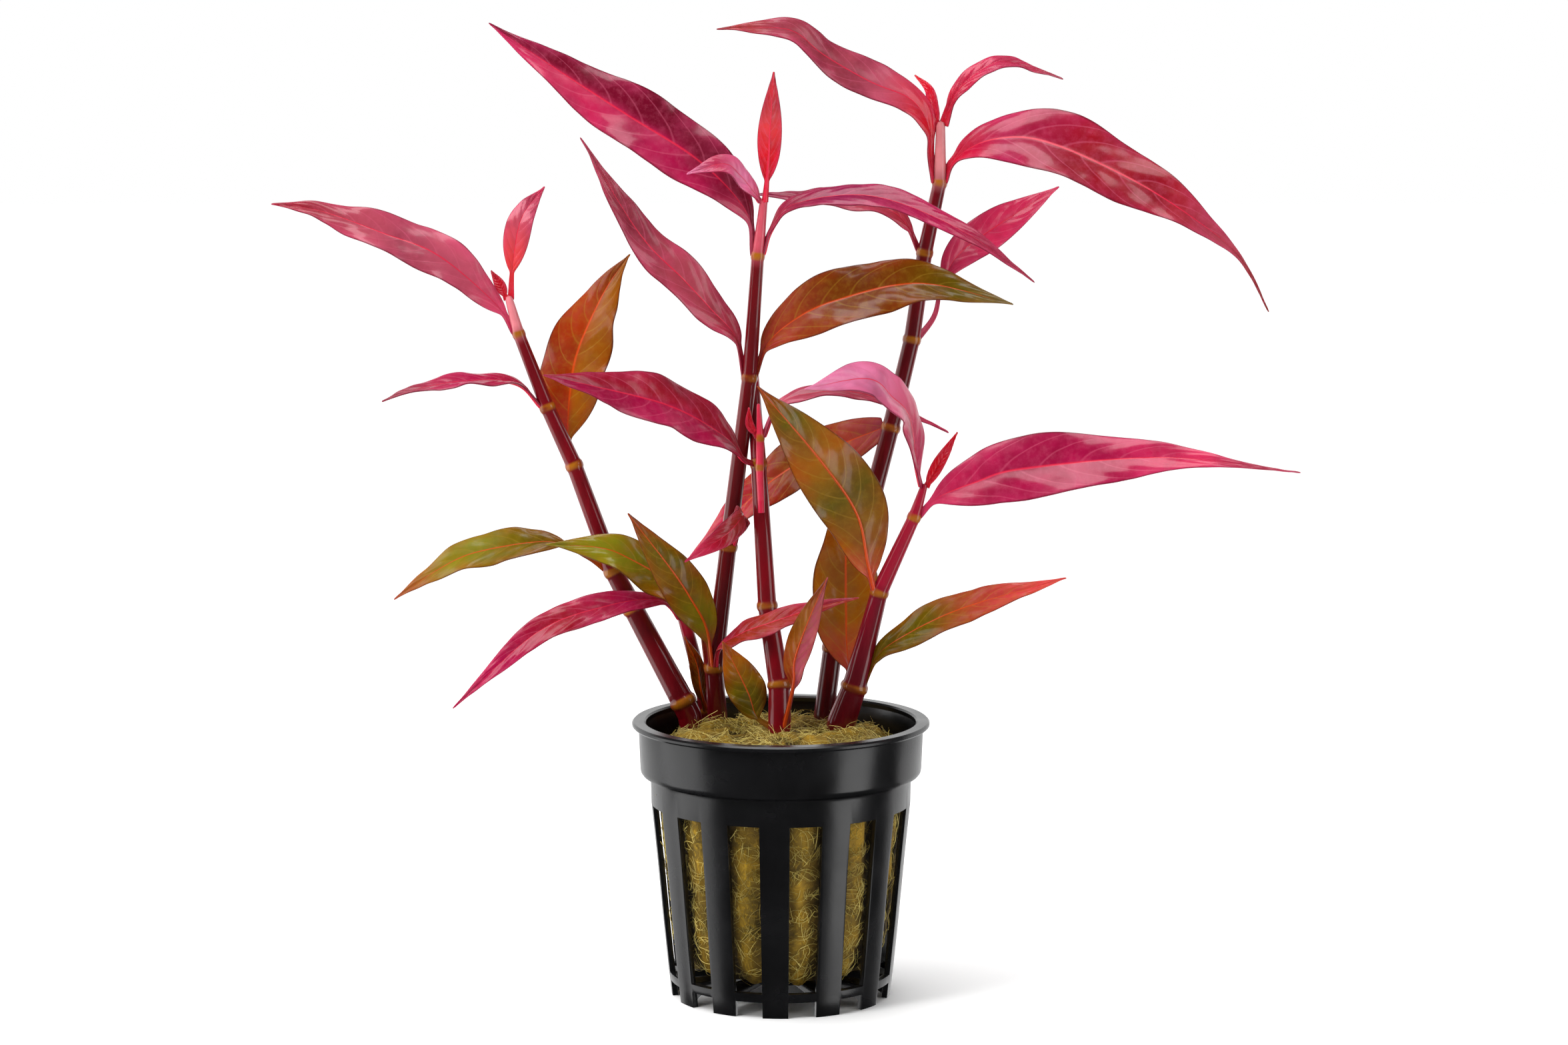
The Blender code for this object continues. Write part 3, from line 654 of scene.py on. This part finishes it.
def make_stem(name):
    """One stem as a grid wrapped into a tube along its stations."""
    stations = stem_stations(STEMS[name])
    last = len(stations) - 1

    def place(across, along):
        i = round(along * last)
        before, after = stations[max(i - 1, 0)][0], stations[min(i + 1, last)][0]
        way = (after - before).normalized()
        side = way.cross(Vector((0, 1, 0))).normalized()
        front = side.cross(way)
        angle = math.pi * across
        point, radius, _ = stations[i]
        return point + (side * math.cos(angle) + front * math.sin(angle)) * radius

    stem = placed_grid(name + "_stem", STEM_AROUND, last, place)
    close_tube(weld=0.005)
    low, upper, young, tan = [hex_colour(c) for c in (*STEM_COLOURS[name], NODE_TAN)]
    start = YOUNG_FROM[name]
    stops = [(LOW_UNTIL, low), (max(start - YOUNG_BLEND, UPPER_FROM), upper),
             (start + YOUNG_BLEND, young), (1.0, young)]

    def colour_at(across, along):
        point, _, near = stations[round(along * last)]
        body = blend_colours(stops, along)
        worn = TAN_MEAN + TAN_WEAR * noise.noise(Vector((across * WEAR_AROUND, point.z, point.x)))
        part = min(1.0, max(0.0, near - TAN_FROM) * TAN_RATE) * min(max(worn, TAN_LEAST), 1.0)
        return [a + (b - a) * part for a, b in zip(body, tan)]

    paint(stem, "tint", colour_at)
    return stem


stem_skin, tree, shader = new_material("crimson_stem_skin")
where = add_node(tree, "ShaderNodeTexCoord").outputs["Object"]
tint = add_node(tree, "ShaderNodeVertexColor", layer_name="tint").outputs["Color"]
mottle = place_mottle(tree, where, patch_scale=160.0, grain_scale=1400.0)
drawn_out = feed(tree, add_node(tree, "ShaderNodeMapping"), Vector=where, Scale=(1.0, 1.0, 0.06))
streaks = feed(tree, add_node(tree, "ShaderNodeTexNoise"), Vector=drawn_out.outputs[0],
               Scale=900.0, Detail=3.0)
streak_mask = ranged(tree, streaks.outputs["Fac"], 0.5, 0.75, 0.0, 0.18)
skin_colour = mixed(tree, scaled(tree, mottle.outputs["Patches"], 0.25), tint, hex_colour(STEM_SHADOW))
skin_colour = mixed(tree, streak_mask, skin_colour, hex_colour(STEM_STREAK))
# Painted shade and sheen: towards the flanks, where the round stem turns away from the view, the colour
# goes over to one flank colour, darker than the young tops and lighter than the darkest stems.
rounding = feed(tree, add_node(tree, "ShaderNodeLayerWeight"), Blend=0.5)
flank_shade_and_sheen = ranged(tree, rounding.outputs["Facing"], 0.35, 1, 0, 0.75)
skin_colour = mixed(tree, flank_shade_and_sheen, skin_colour, hex_colour(STEM_FLANK_SHADE_AND_SHEEN))
feed(tree, shader, Base_Color=skin_colour, Coat_Roughness=0.06, Coat_Weight=0.75,
     Specular_IOR_Level=0.15, Roughness=ranged(tree, mottle.outputs["Patches"], 0, 1, 0.3, 0.42),
     Normal=bumped(tree, streaks.outputs["Fac"], 0.2, 0.06))
for stem_name in STEMS:
    stem = make_stem(stem_name)
    stem.data.materials.append(stem_skin)
    join_pieces(stem)
    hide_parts("stem_" + stem_name)
    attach(stem, "root")


# The leaves. Long lance-shaped blades that grow on short stalks from the nodes, softly shining and
# folded a little along a raised midrib, with swept side veins and a thin dark edge.
# Young ones near the tops are pink to magenta, old ones low down are olive to rusty brown.
TONES = {
    "magenta": "#b00c48", "deep_magenta": "#6c0420", "pink": "#d8305e", "rose": "#cc5870",
    "lilac": "#f08ab6", "red": "#dc0418", "crimson": "#a80c22", "dusty": "#ae4454",
    "purple": "#961e50", "olive": "#665800", "moss": "#8c8a14", "brown": "#7a3804",
    "rust": "#a83404", "khaki": "#948048", "coral": "#e04448", "russet": "#b04028",
    "amber": "#a05c04",
}
BLADE_ACROSS, BLADE_ALONG = 14, 60
BLADE_THICKNESS = 0.3
BLADE_FULLNESS, BLADE_BOW = 0.85, 0.1
SIDE_VEINS = 10
VEIN_SWEEP = 0.06
VEIN_CURVE = 0.14
QUILTING = 0.18
UNEVENNESS, UNEVEN_SCALE = 0.3, 0.35
RIPPLE_COUNT, RIPPLE_TURN, RIPPLE_SHIFT = 3.0, 6.28, 0.7
HALF_STRENGTH, HALF_FROM, HALF_RATE = 0.9, 0.48, 8
MIDRIB_BASE, MIDRIB_TIP = 0.42, 0.08
MIDRIB_TAPER, MIDRIB_SINK, MIDRIB_AROUND = 2.2, 0.5, 8
LEAST_HALF_WIDTH, TAIL_WIDTH = 0.02, 0.7
LEAF_SEAT = 0.7
CURVE_STEPS = 12


def smooth_curve(points, samples):
    """Evenly spaced points along a Catmull-Rom curve through the given points, and its length."""
    ends = [points[0] * 2 - points[1], *points, points[-1] * 2 - points[-2]]
    fine = []
    for a, b, c, d in zip(ends, ends[1:], ends[2:], ends[3:]):
        for k in range(CURVE_STEPS):
            t = k / CURVE_STEPS
            bend = (2 * a - 5 * b + 4 * c - d) * t * t + (3 * b - a - 3 * c + d) * t ** 3
            fine.append((2 * b + (c - a) * t + bend) * 0.5)
    fine.append(points[-1])
    lengths = [0.0]
    for first, second in zip(fine, fine[1:]):
        lengths.append(lengths[-1] + (second - first).length)
    result = []
    i = 0
    for k in range(samples + 1):
        wanted = lengths[-1] * k / samples
        while i < len(fine) - 2 and lengths[i + 1] < wanted:
            i += 1
        share = (wanted - lengths[i]) / (lengths[i + 1] - lengths[i])
        result.append(fine[i].lerp(fine[i + 1], share))
    return result, lengths[-1]


def between(values, share):
    """A value at a share of the way along evenly spaced values."""
    place = share * (len(values) - 1)
    i = min(int(place), len(values) - 2)
    return values[i] + (values[i + 1] - values[i]) * (place - i)


def blade_share(u, peak):
    """Half width of a blade, from 0 to 1, at the share u of its length; peak is its widest place."""
    u = min(max(u, 0.0), 1.0)
    tip_power = BLADE_FULLNESS * (1 - peak) / peak
    return (u / peak) ** BLADE_FULLNESS * ((1 - u) / (1 - peak)) ** tip_power


def leaf_frames(start, heading, route, tilt):
    """The line of a leaf as (point, side, face) frames from stalk to tip, and its length."""
    x, y, z, stem_radius = start
    spot = Vector((x, y, 0))
    last_reach = 0.0
    points = []
    for i, (reach, rise) in enumerate([(stem_radius * LEAF_SEAT, 0.0), *route]):
        bearing = math.radians(heading[0] + (heading[1] - heading[0]) * i / len(route))
        spot += Vector((math.cos(bearing), math.sin(bearing), 0)) * (reach - last_reach)
        last_reach = reach
        points.append(Vector((spot.x, spot.y, z + rise)))
    line, length = smooth_curve(points, BLADE_ALONG)
    to_front = 1 if math.cos(math.radians(heading[1])) >= 0 else -1
    frames = []
    for i, point in enumerate(line):
        share = i / BLADE_ALONG
        way = (line[min(i + 1, BLADE_ALONG)] - line[max(i - 1, 0)]).normalized()
        bearing = math.radians(heading[0] + (heading[1] - heading[0]) * share)
        level = Vector((-math.sin(bearing), math.cos(bearing), 0))
        up = way.cross(level).normalized()
        turn = math.radians(to_front * between(tilt, share))
        side = level * math.cos(turn) + up * math.sin(turn)
        frames.append((point, side, way.cross(side)))
    return frames, length


def make_leaf(name, stem, node, heading, route, width, tilt, fold, stalk, tones, old=False,
              peak=0.4, ripple=0.12, half=None, stalk_width=1.2, tail=0.0):
    """One leaf that grows from a node of a stem.

    heading is the pair of bearings it sets out and ends on, in degrees from +X towards +Y. route
    lists reach from the stem's axis and height above the node. tilt is how far the upper face
    turns to the front along the leaf, fold the angle of each half of the blade, stalk the length
    of its stalk, stalk_width how broad that is at the foot, peak the share of the blade where it
    is widest, ripple how wavy its edge is, and tones the colours from stalk to tip. half names a
    tone for one half of the blade only, with 0 for its left half or 1 for its right: partly the
    blade's own two-tone colour, partly painted shade on the half of the fold turned from the
    light. tail is the share of the length that is drawn out thin, and old gives it the skin of
    the older leaves.
    """
    frames, length = leaf_frames(STEMS[stem][node], heading, route, tilt)
    fold_angle = math.radians(fold)
    x, _, z, _ = STEMS[stem][node]
    wave_start = (z * RIPPLE_SHIFT + x) % RIPPLE_TURN

    def place_blade(across, along):
        point, side, face = frames[round(along * BLADE_ALONG)]
        u = (along * length - stalk) / (length - stalk)
        half_width = stalk_width / 2 * (1 - along) ** 2 + width / 2 * blade_share(u / (1 - tail), peak)
        half_width += LEAST_HALF_WIDTH
        if tail:
            half_width += TAIL_WIDTH / 2 * min(1.0, (1 - along) / tail)
        out = abs(across)
        right = across > 0
        phase = SIDE_VEINS * (along - VEIN_SWEEP * out - VEIN_CURVE * out * out) + (0.5 if right else 0)
        quilt = QUILTING * abs(math.sin(math.pi * phase)) * math.sin(math.pi * out) * (0 < u < 1)
        crest = math.sin(RIPPLE_COUNT * RIPPLE_TURN * u + wave_start + right)
        wave = ripple * half_width * out * out * crest
        patch = noise.noise((point + side * across * half_width) * UNEVEN_SCALE)
        uneven = UNEVENNESS * out * (0 < u < 1) * patch
        lift = half_width * (out * math.sin(fold_angle) - BLADE_BOW * out * out) + quilt + wave + uneven
        return point + side * across * half_width * math.cos(fold_angle) + face * lift

    blade = placed_grid(name, BLADE_ACROSS, BLADE_ALONG, place_blade)
    body = blade.modifiers.new("body", "SOLIDIFY")
    body.thickness = BLADE_THICKNESS * MM
    body.offset = 0
    apply_modifiers(blade)

    def place_midrib(across, along):
        point, side, face = frames[round(along * BLADE_ALONG)]
        radius = MIDRIB_BASE + (MIDRIB_TIP - MIDRIB_BASE) * (1 - (1 - along) ** MIDRIB_TAPER)
        angle = math.pi * across
        outward = side * math.cos(angle) + face * math.sin(angle)
        return point - face * radius * MIDRIB_SINK + outward * radius

    midrib = placed_grid(name + "_midrib", MIDRIB_AROUND, BLADE_ALONG, place_midrib)
    for corner_uv in midrib.data.uv_layers.active.uv:
        corner_uv.vector.x = 0.5
    close_tube(weld=0.001)
    colours = [hex_colour(TONES[tone]) for tone in tones]
    stops = [(i / (len(colours) - 1), colour) for i, colour in enumerate(colours)]

    def tint_at(across, along):
        body = blend_colours(stops, along)
        if half is None:
            return body
        # The half tone is partly the blade's own two-tone colour, partly painted shade on the half of the
        # fold turned from the light.
        tone, is_right = half
        inside = (across if is_right else 1 - across) - HALF_FROM
        share = min(max(inside * HALF_RATE, 0.0), HALF_STRENGTH)
        return [a + (b - a) * share for a, b in zip(body, hex_colour(TONES[tone]))]

    for piece in (blade, midrib):
        paint(piece, "tint", tint_at)
        piece.data.materials.append(OLD_BLADE if old else YOUNG_BLADE)
    join_pieces(blade, [midrib])
    finer = blade.modifiers.new("finer", "SUBSURF")
    finer.levels = finer.render_levels = 1
    apply_modifiers(blade)
    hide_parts("leaf_" + name)
    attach(blade, "root")


def vein_group():
    """A shader group: masks of the midrib, side veins and edge of a blade from its UV map."""
    tree = bpy.data.node_groups.new("leaf_veins", "ShaderNodeTree")
    tree.interface.new_socket("UV", in_out="INPUT", socket_type="NodeSocketVector")
    tree.interface.new_socket("Waver", in_out="INPUT", socket_type="NodeSocketFloat")
    for name in ("Midrib", "Side Veins", "Edge", "Margin", "Relief"):
        tree.interface.new_socket(name, in_out="OUTPUT", socket_type="NodeSocketFloat")
    entry = tree.nodes.new("NodeGroupInput")
    leave = tree.nodes.new("NodeGroupOutput")

    def maths(operation, *values):
        node = add_node(tree, "ShaderNodeMath", operation=operation)
        feed(tree, node, **{"_%d" % i: value for i, value in enumerate(values)})
        return node.outputs[0]

    uv = feed(tree, add_node(tree, "ShaderNodeSeparateXYZ"), Vector=entry.outputs["UV"])
    centred = maths("MULTIPLY_ADD", uv.outputs["X"], 2.0, -1.0)
    out = maths("ABSOLUTE", centred)
    bend = maths("MULTIPLY_ADD", out, -VEIN_CURVE, -VEIN_SWEEP)
    swept = maths("MULTIPLY_ADD", out, bend, uv.outputs["Y"])
    sided = maths("MULTIPLY_ADD", maths("GREATER_THAN", centred, 0.0), 0.5, entry.outputs["Waver"])
    phase = maths("MULTIPLY_ADD", swept, float(SIDE_VEINS), sided)
    from_vein = maths("PINGPONG", phase, 0.5)
    side_veins = ranged(tree, from_vein, 0.0, 0.07, 1.0, 0.0)
    midrib = ranged(tree, out, 0.015, 0.05, 1.0, 0.0)
    edge = ranged(tree, out, 0.93, 0.99, 0.0, 1.0)
    margin = ranged(tree, out, 0.5, 1.0, 0.0, 1.0)
    relief = maths("MAXIMUM", midrib, maths("MULTIPLY", side_veins, 0.5))
    feed(tree, leave, Midrib=midrib, Side_Veins=side_veins, Edge=edge, Margin=margin, Relief=relief)
    return tree


VEINS = vein_group()
LIGHT_THROUGH = 0.25


def blade_material(name, midrib, vein, edge, blush, blushed, patched):
    """Leaf skin: its own tint with veins, a dark edge, blotches and a soft shine; light comes through.

    blushed is how much of the blush colour shows in blotches and towards the margins, and patched
    how much of the edge colour shows in larger patches.
    """
    midrib, vein, edge, blush = [hex_colour(code) for code in (midrib, vein, edge, blush)]
    made, tree, shader = new_material(name)
    where = add_node(tree, "ShaderNodeTexCoord")
    tint = add_node(tree, "ShaderNodeVertexColor", layer_name="tint").outputs["Color"]
    mottle = place_mottle(tree, where.outputs["Object"], patch_scale=70.0, grain_scale=800.0)
    blotches = place_mottle(tree, where.outputs["Object"], patch_scale=130.0, grain_scale=2500.0)
    patches = mottle.outputs["Patches"]
    veins = add_node(tree, "ShaderNodeGroup")
    veins.node_tree = VEINS
    feed(tree, veins, UV=where.outputs["UV"], Waver=scaled(tree, patches, 0.12))
    near_margin = add_node(tree, "ShaderNodeMath", operation="MULTIPLY_ADD")
    feed(tree, near_margin, _0=veins.outputs["Margin"], _1=0.7, _2=blotches.outputs["Patches"])
    grain = ranged(tree, mottle.outputs["Grain"], 0.45, 0.75, 0, 0.22)
    colour = mixed(tree, ranged(tree, near_margin.outputs[0], 0.5, 1.5, 0, blushed), tint, blush)
    colour = mixed(tree, ranged(tree, patches, 0.25, 1, 0, patched), colour, edge)
    colour = mixed(tree, grain, colour, vein)
    colour = mixed(tree, scaled(tree, veins.outputs["Side Veins"], 0.32), colour, vein)
    colour = mixed(tree, scaled(tree, veins.outputs["Midrib"], 0.85), colour, midrib)
    colour = mixed(tree, scaled(tree, veins.outputs["Edge"], 0.7), colour, edge)
    height = add_node(tree, "ShaderNodeMath", operation="MULTIPLY_ADD")
    pores = scaled(tree, blotches.outputs["Grain"], 0.45)
    feed(tree, height, _0=veins.outputs["Relief"], _1=-0.7, _2=pores)
    feed(tree, shader, Base_Color=colour, Roughness=ranged(tree, patches, 0, 1, 0.22, 0.36),
         Specular_IOR_Level=0.3, Coat_Weight=0.5, Coat_Roughness=0.14,
         Normal=bumped(tree, height.outputs[0], 0.4, 0.1))
    through = feed(tree, add_node(tree, "ShaderNodeBsdfTranslucent"), Color=colour)
    both = feed(tree, add_node(tree, "ShaderNodeMixShader"),
                _0=LIGHT_THROUGH, _1=shader.outputs[0], _2=through.outputs[0])
    feed(tree, tree.nodes["Material Output"], Surface=both.outputs[0])
    return made


YOUNG_BLADE = blade_material("young_blade", midrib="#e8284a", vein="#dc6484", edge="#66041c",
                             blush="#e0487a", blushed=0.4, patched=0.6)
OLD_BLADE = blade_material("old_blade", midrib="#d84a10", vein="#b08a28", edge="#4e1404",
                           blush="#b03c08", blushed=0.45, patched=0.45)


# Leaves of the left stem.
make_leaf("left_top_long", "left", 6, (186, 184),
          [(3.9, 5.1), (14, 13.8), (23.5, 17.7), (34.5, 21.7), (43, 23)],
          width=8.5, tilt=(65, 50), fold=14, stalk=4, peak=0.42, ripple=0.2,
          tones=("pink", "rose", "rose", "dusty", "crimson"))
make_leaf("left_top_upright", "left", 7, (60, 60), [(1.2, 6), (4, 14), (11.5, 19.5)],
          width=4.5, tilt=(30, 35), fold=10, stalk=5, ripple=0.05,
          tones=("red", "coral", "rose", "pink"))
make_leaf("left_top_spike", "left", 7, (150, 150), [(2, 2.6), (3.8, 5)],
          width=1.6, tilt=(60, 60), fold=10, stalk=1, ripple=0.02, tones=("red", "crimson"))
make_leaf("left_narrow", "left", 5, (200, 200), [(5.7, 4.4), (15.3, 5), (25, 3.6), (30, 2)],
          width=5.6, tilt=(15, 20), fold=14, stalk=4, tones=("crimson", "magenta", "dusty"))
make_leaf("left_broad", "left", 4, (130, -10), [(3.9, 6.4), (5.4, 13), (7.4, 20), (12.2, 30), (17, 37)],
          width=12.6, tilt=(-40, 60), fold=8, stalk=5, old=True,
          tones=("coral", "rust", "rust", "brown"), half=("amber", 0))
make_leaf("left_olive", "left", 3, (172, 172), [(4.9, 2.6), (11.5, 5), (24, 3), (31, 0), (40, -6)],
          width=7, tilt=(50, 50), fold=14, stalk=9, old=True, tones=("rust", "olive", "moss", "russet"))

# Leaves of the short stem.
make_leaf("short_pink", "short", 2, (210, 210), [(2.8, 2.6), (6, 4), (15, 3.6), (29, 0), (45.5, -12)],
          width=5.5, tilt=(45, 50), fold=14, stalk=4,
          tones=("crimson", "magenta", "crimson", "magenta", "magenta"))
make_leaf("short_low_brown", "short", 0, (260, 220), [(3.2, 4), (4.4, 9), (7.1, 14.3)],
          width=2.8, tilt=(-60, -60), fold=10, stalk=3, ripple=0.05, old=True,
          tones=("amber", "brown", "rust"))

# Leaves of the left centre stem.
make_leaf("left_centre_olive", "left_centre", 1, (183, 192),
          [(3, 10.4), (7.1, 14.9), (14.7, 19.6), (20.1, 21.8), (29.8, 22.7)],
          width=8.5, tilt=(55, 60), fold=14, stalk=7, ripple=0.16, old=True,
          tones=("coral", "amber", "olive", "moss", "moss"))
make_leaf("left_centre_front", "left_centre", 1, (255, 210),
          [(3.3, 7.5), (7.4, 13.1), (12.1, 19.1), (20.5, 29.4)],
          width=7.5, tilt=(-50, -55), fold=10, stalk=5, old=True,
          tones=("coral", "moss", "olive", "olive", "rust"))
make_leaf("left_centre_low_pink", "left_centre", 1, (-80, -8),
          [(3.3, 4.1), (10.4, 7.7), (14.7, 9.4), (25.1, 13.3), (32, 15)],
          width=4.6, tilt=(60, 60), fold=10, stalk=4,
          tones=("pink", "crimson", "rust", "crimson", "dusty"), half=("rust", 0))
make_leaf("left_centre_mid_pink", "left_centre", 2, (330, 190),
          [(4.7, 5.7), (5.7, 5.8), (9.7, 3), (16.7, -1.5)],
          width=4.5, tilt=(60, 65), fold=12, stalk=3, tones=("crimson", "russet", "crimson", "pink"))
make_leaf("left_centre_magenta", "left_centre", 3, (190, 190),
          [(2.4, 6.9), (6.7, 11.8), (11.7, 17.2), (19.5, 25.4), (29.5, 41.9)],
          width=8, tilt=(60, 65), fold=14, stalk=6, peak=0.36,
          tones=("crimson", "dusty", "dusty", "dusty"))
make_leaf("left_centre_brown", "left_centre", 3, (-5, -5),
          [(3, 5.5), (7.4, 9.7), (14.7, 13.3), (29.5, 16.5), (46, 13)],
          width=11, tilt=(70, 50), fold=14, stalk=5, old=True,
          tones=("crimson", "russet", "brown", "brown", "olive", "khaki"))
make_leaf("left_centre_top_left", "left_centre", 4, (178, 178),
          [(2, 7.5), (10, 16.2), (23, 24.5), (36.8, 33.4), (46.5, 40.1)],
          width=11.5, tilt=(68, 65), fold=14, stalk=6, ripple=0.18,
          tones=("rose", "magenta", "magenta", "pink", "magenta"), half=("deep_magenta", 0))
make_leaf("left_centre_top_right", "left_centre", 4, (-12, -12),
          [(2.4, 4.7), (6.8, 9), (20.3, 10.4), (35.5, 4.8), (48.5, -4)],
          width=5.5, tilt=(35, 40), fold=14, stalk=5, tones=("crimson", "purple", "magenta", "dusty"))
make_leaf("left_centre_tip_fold", "left_centre", 5, (200, 200), [(4.3, 4.5), (7.4, 6.6), (14, 5)],
          width=4.5, tilt=(50, 50), fold=14, stalk=1, ripple=0.05,
          tones=("pink", "lilac", "pink", "lilac"))
make_leaf("left_centre_tip_bud", "left_centre", 5, (-60, -60), [(1.7, 7), (2.2, 12), (3.6, 22.5)],
          width=4.0, tilt=(-30, -30), fold=12, stalk=4, peak=0.42, ripple=0.03,
          tones=("red", "red", "coral", "red"))

# Leaves of the centre stem and its side shoot.
make_leaf("centre_magenta", "centre", 3, (225, 215),
          [(3.8, 1.2), (8, 5.3), (20, 11.4), (37.2, 16.1), (45.6, 18.2)],
          width=10.5, tilt=(60, 60), fold=14, stalk=4,
          tones=("crimson", "magenta", "magenta", "magenta"), half=("crimson", 0))
make_leaf("centre_shoot_right", "centre_shoot", 1, (4, 4), [(3.2, 5.5), (9, 7.5), (18.3, 7.2), (33, 0.5)],
          width=4, tilt=(25, 30), fold=14, stalk=4, tones=("rose", "dusty", "pink"))
make_leaf("centre_shoot_spike", "centre_shoot", 1, (180, 180), [(1.9, 2.2), (2, 5.2)],
          width=1.2, tilt=(60, 60), fold=10, stalk=1, ripple=0.02, tones=("red", "red"))
make_leaf("centre_foot_scale", "centre", 1, (-10, -10), [(3, 2), (2.7, 5.6)],
          width=1.8, tilt=(50, 60), fold=10, stalk=0.5, ripple=0.02, tones=("amber", "red", "red"))
make_leaf("centre_low_twist", "centre", 0, (-60, -35),
          [(4.3, 8.3), (4.7, 12.9), (8.2, 20.8), (11.8, 27.8)],
          width=4.6, tilt=(-50, -60), fold=10, stalk=8, old=True,
          tones=("rust", "rust", "amber", "russet"), half=("rose", 1))
make_leaf("centre_low_olive", "centre", 0, (170, 170), [(4.1, 1.8), (5.6, 5.9), (8.2, 11.2), (10.2, 15)],
          width=6.6, tilt=(70, 70), fold=8, stalk=3, old=True,
          tones=("amber", "olive", "olive", "amber", "rust"))

# Leaves of the right back stem.
make_leaf("right_back_long", "right_back", 3, (160, 160),
          [(10.5, -3.9), (18, -7.5), (26, -13.5), (39, -26)],
          width=9.5, tilt=(70, 60), fold=12, stalk=-2, old=True,
          tones=("dusty", "russet", "brown", "crimson", "pink", "pink"))
make_leaf("right_back_purple", "right_back", 5, (170, 170), [(3, 4.4), (6.2, 7.3), (12.7, 8.9), (31, 10)],
          width=5.5, tilt=(40, 30), fold=14, stalk=4, tones=("crimson", "dusty", "purple"))
make_leaf("right_back_pink", "right_back", 4, (25, 25),
          [(4.4, 4), (5.8, 9.2), (8.8, 14.4), (15.7, 19), (29.4, 26.4)],
          width=6.8, tilt=(70, 65), fold=12, stalk=12, tones=("rose", "pink", "pink", "pink"))
make_leaf("right_back_arch", "right_back", 6, (-15, -15),
          [(2.6, 3.9), (9, 7.4), (18.5, 7.3), (33.6, 1), (45.5, -6.2), (53, -12.4), (58.2, -21.7)],
          width=12, tilt=(55, 50), fold=14, stalk=5, peak=0.38, ripple=0.16, tail=0.14,
          tones=("red", "magenta", "crimson", "crimson", "dusty", "rust"))
make_leaf("right_back_top_left", "right_back", 6, (195, 195),
          [(1.8, 4.6), (2.1, 9.5), (5.3, 14.4), (13, 17.6), (21.3, 22.2),
           (26, 25.9), (30.5, 26.9), (40.4, 26.7)],
          width=8, tilt=(60, 50), fold=14, stalk=8, stalk_width=2.2,
          tones=("red", "red", "rose", "dusty", "dusty", "russet"))
make_leaf("right_back_tip_curl", "right_back", 7, (150, 150), [(1.5, 3.2), (2.4, 6.4), (5.2, 8.8)],
          width=1.6, tilt=(60, 60), fold=10, stalk=1, ripple=0.03, tones=("red", "red"))
make_leaf("right_back_tip_right", "right_back", 7, (20, 20),
          [(3.1, 6), (8.7, 10.2), (13.2, 10.9), (23.4, 8)],
          width=3, tilt=(40, 40), fold=14, stalk=4, stalk_width=2, tones=("red", "pink", "dusty"))

# Leaves of the right front stem.
make_leaf("right_front_brown", "right_front", 1, (110, 110), [(3.9, 6), (4.4, 14), (4.6, 24), (4.8, 36)],
          width=12, tilt=(5, 5), fold=8, stalk=3, old=True, tones=("coral", "amber", "amber", "rust"))
make_leaf("right_front_pink_low", "right_front", 1, (-20, -20),
          [(3.8, 4.8), (7.5, 8.4), (19.3, 14.7), (38.4, 21.2)],
          width=6.5, tilt=(60, 55), fold=12, stalk=5, old=True,
          tones=("amber", "olive", "olive", "russet", "coral", "coral"))
make_leaf("right_front_olive", "right_front", 2, (215, 215),
          [(2.6, 5.6), (5, 14.3), (12.6, 23.9), (25.9, 37.6)],
          width=12, tilt=(-65, -65), fold=10, stalk=3, old=True,
          tones=("coral", "amber", "olive", "amber", "olive", "rust"))
make_leaf("right_front_magenta", "right_front", 3, (-8, -8),
          [(3.9, 3.3), (10.7, 6.2), (19, 8.7), (43.5, 11), (66.5, 8.8)],
          width=11.5, tilt=(70, 50), fold=12, stalk=4, peak=0.29,
          tones=("pink", "magenta", "magenta", "pink", "dusty"))
make_leaf("right_front_pink_fold", "right_front", 4, (215, 215),
          [(1.6, 4), (3.4, 12.5), (7, 16), (12.3, 19.5), (25.4, 18.5)],
          width=9, tilt=(60, 50), fold=14, stalk=3, tones=("magenta", "rose", "lilac", "lilac"))
make_leaf("right_front_tip_red", "right_front", 4, (20, 20), [(2.5, 3.5), (6.3, 9.4)],
          width=1.8, tilt=(60, 60), fold=10, stalk=1, ripple=0.03, tones=("red", "red"))
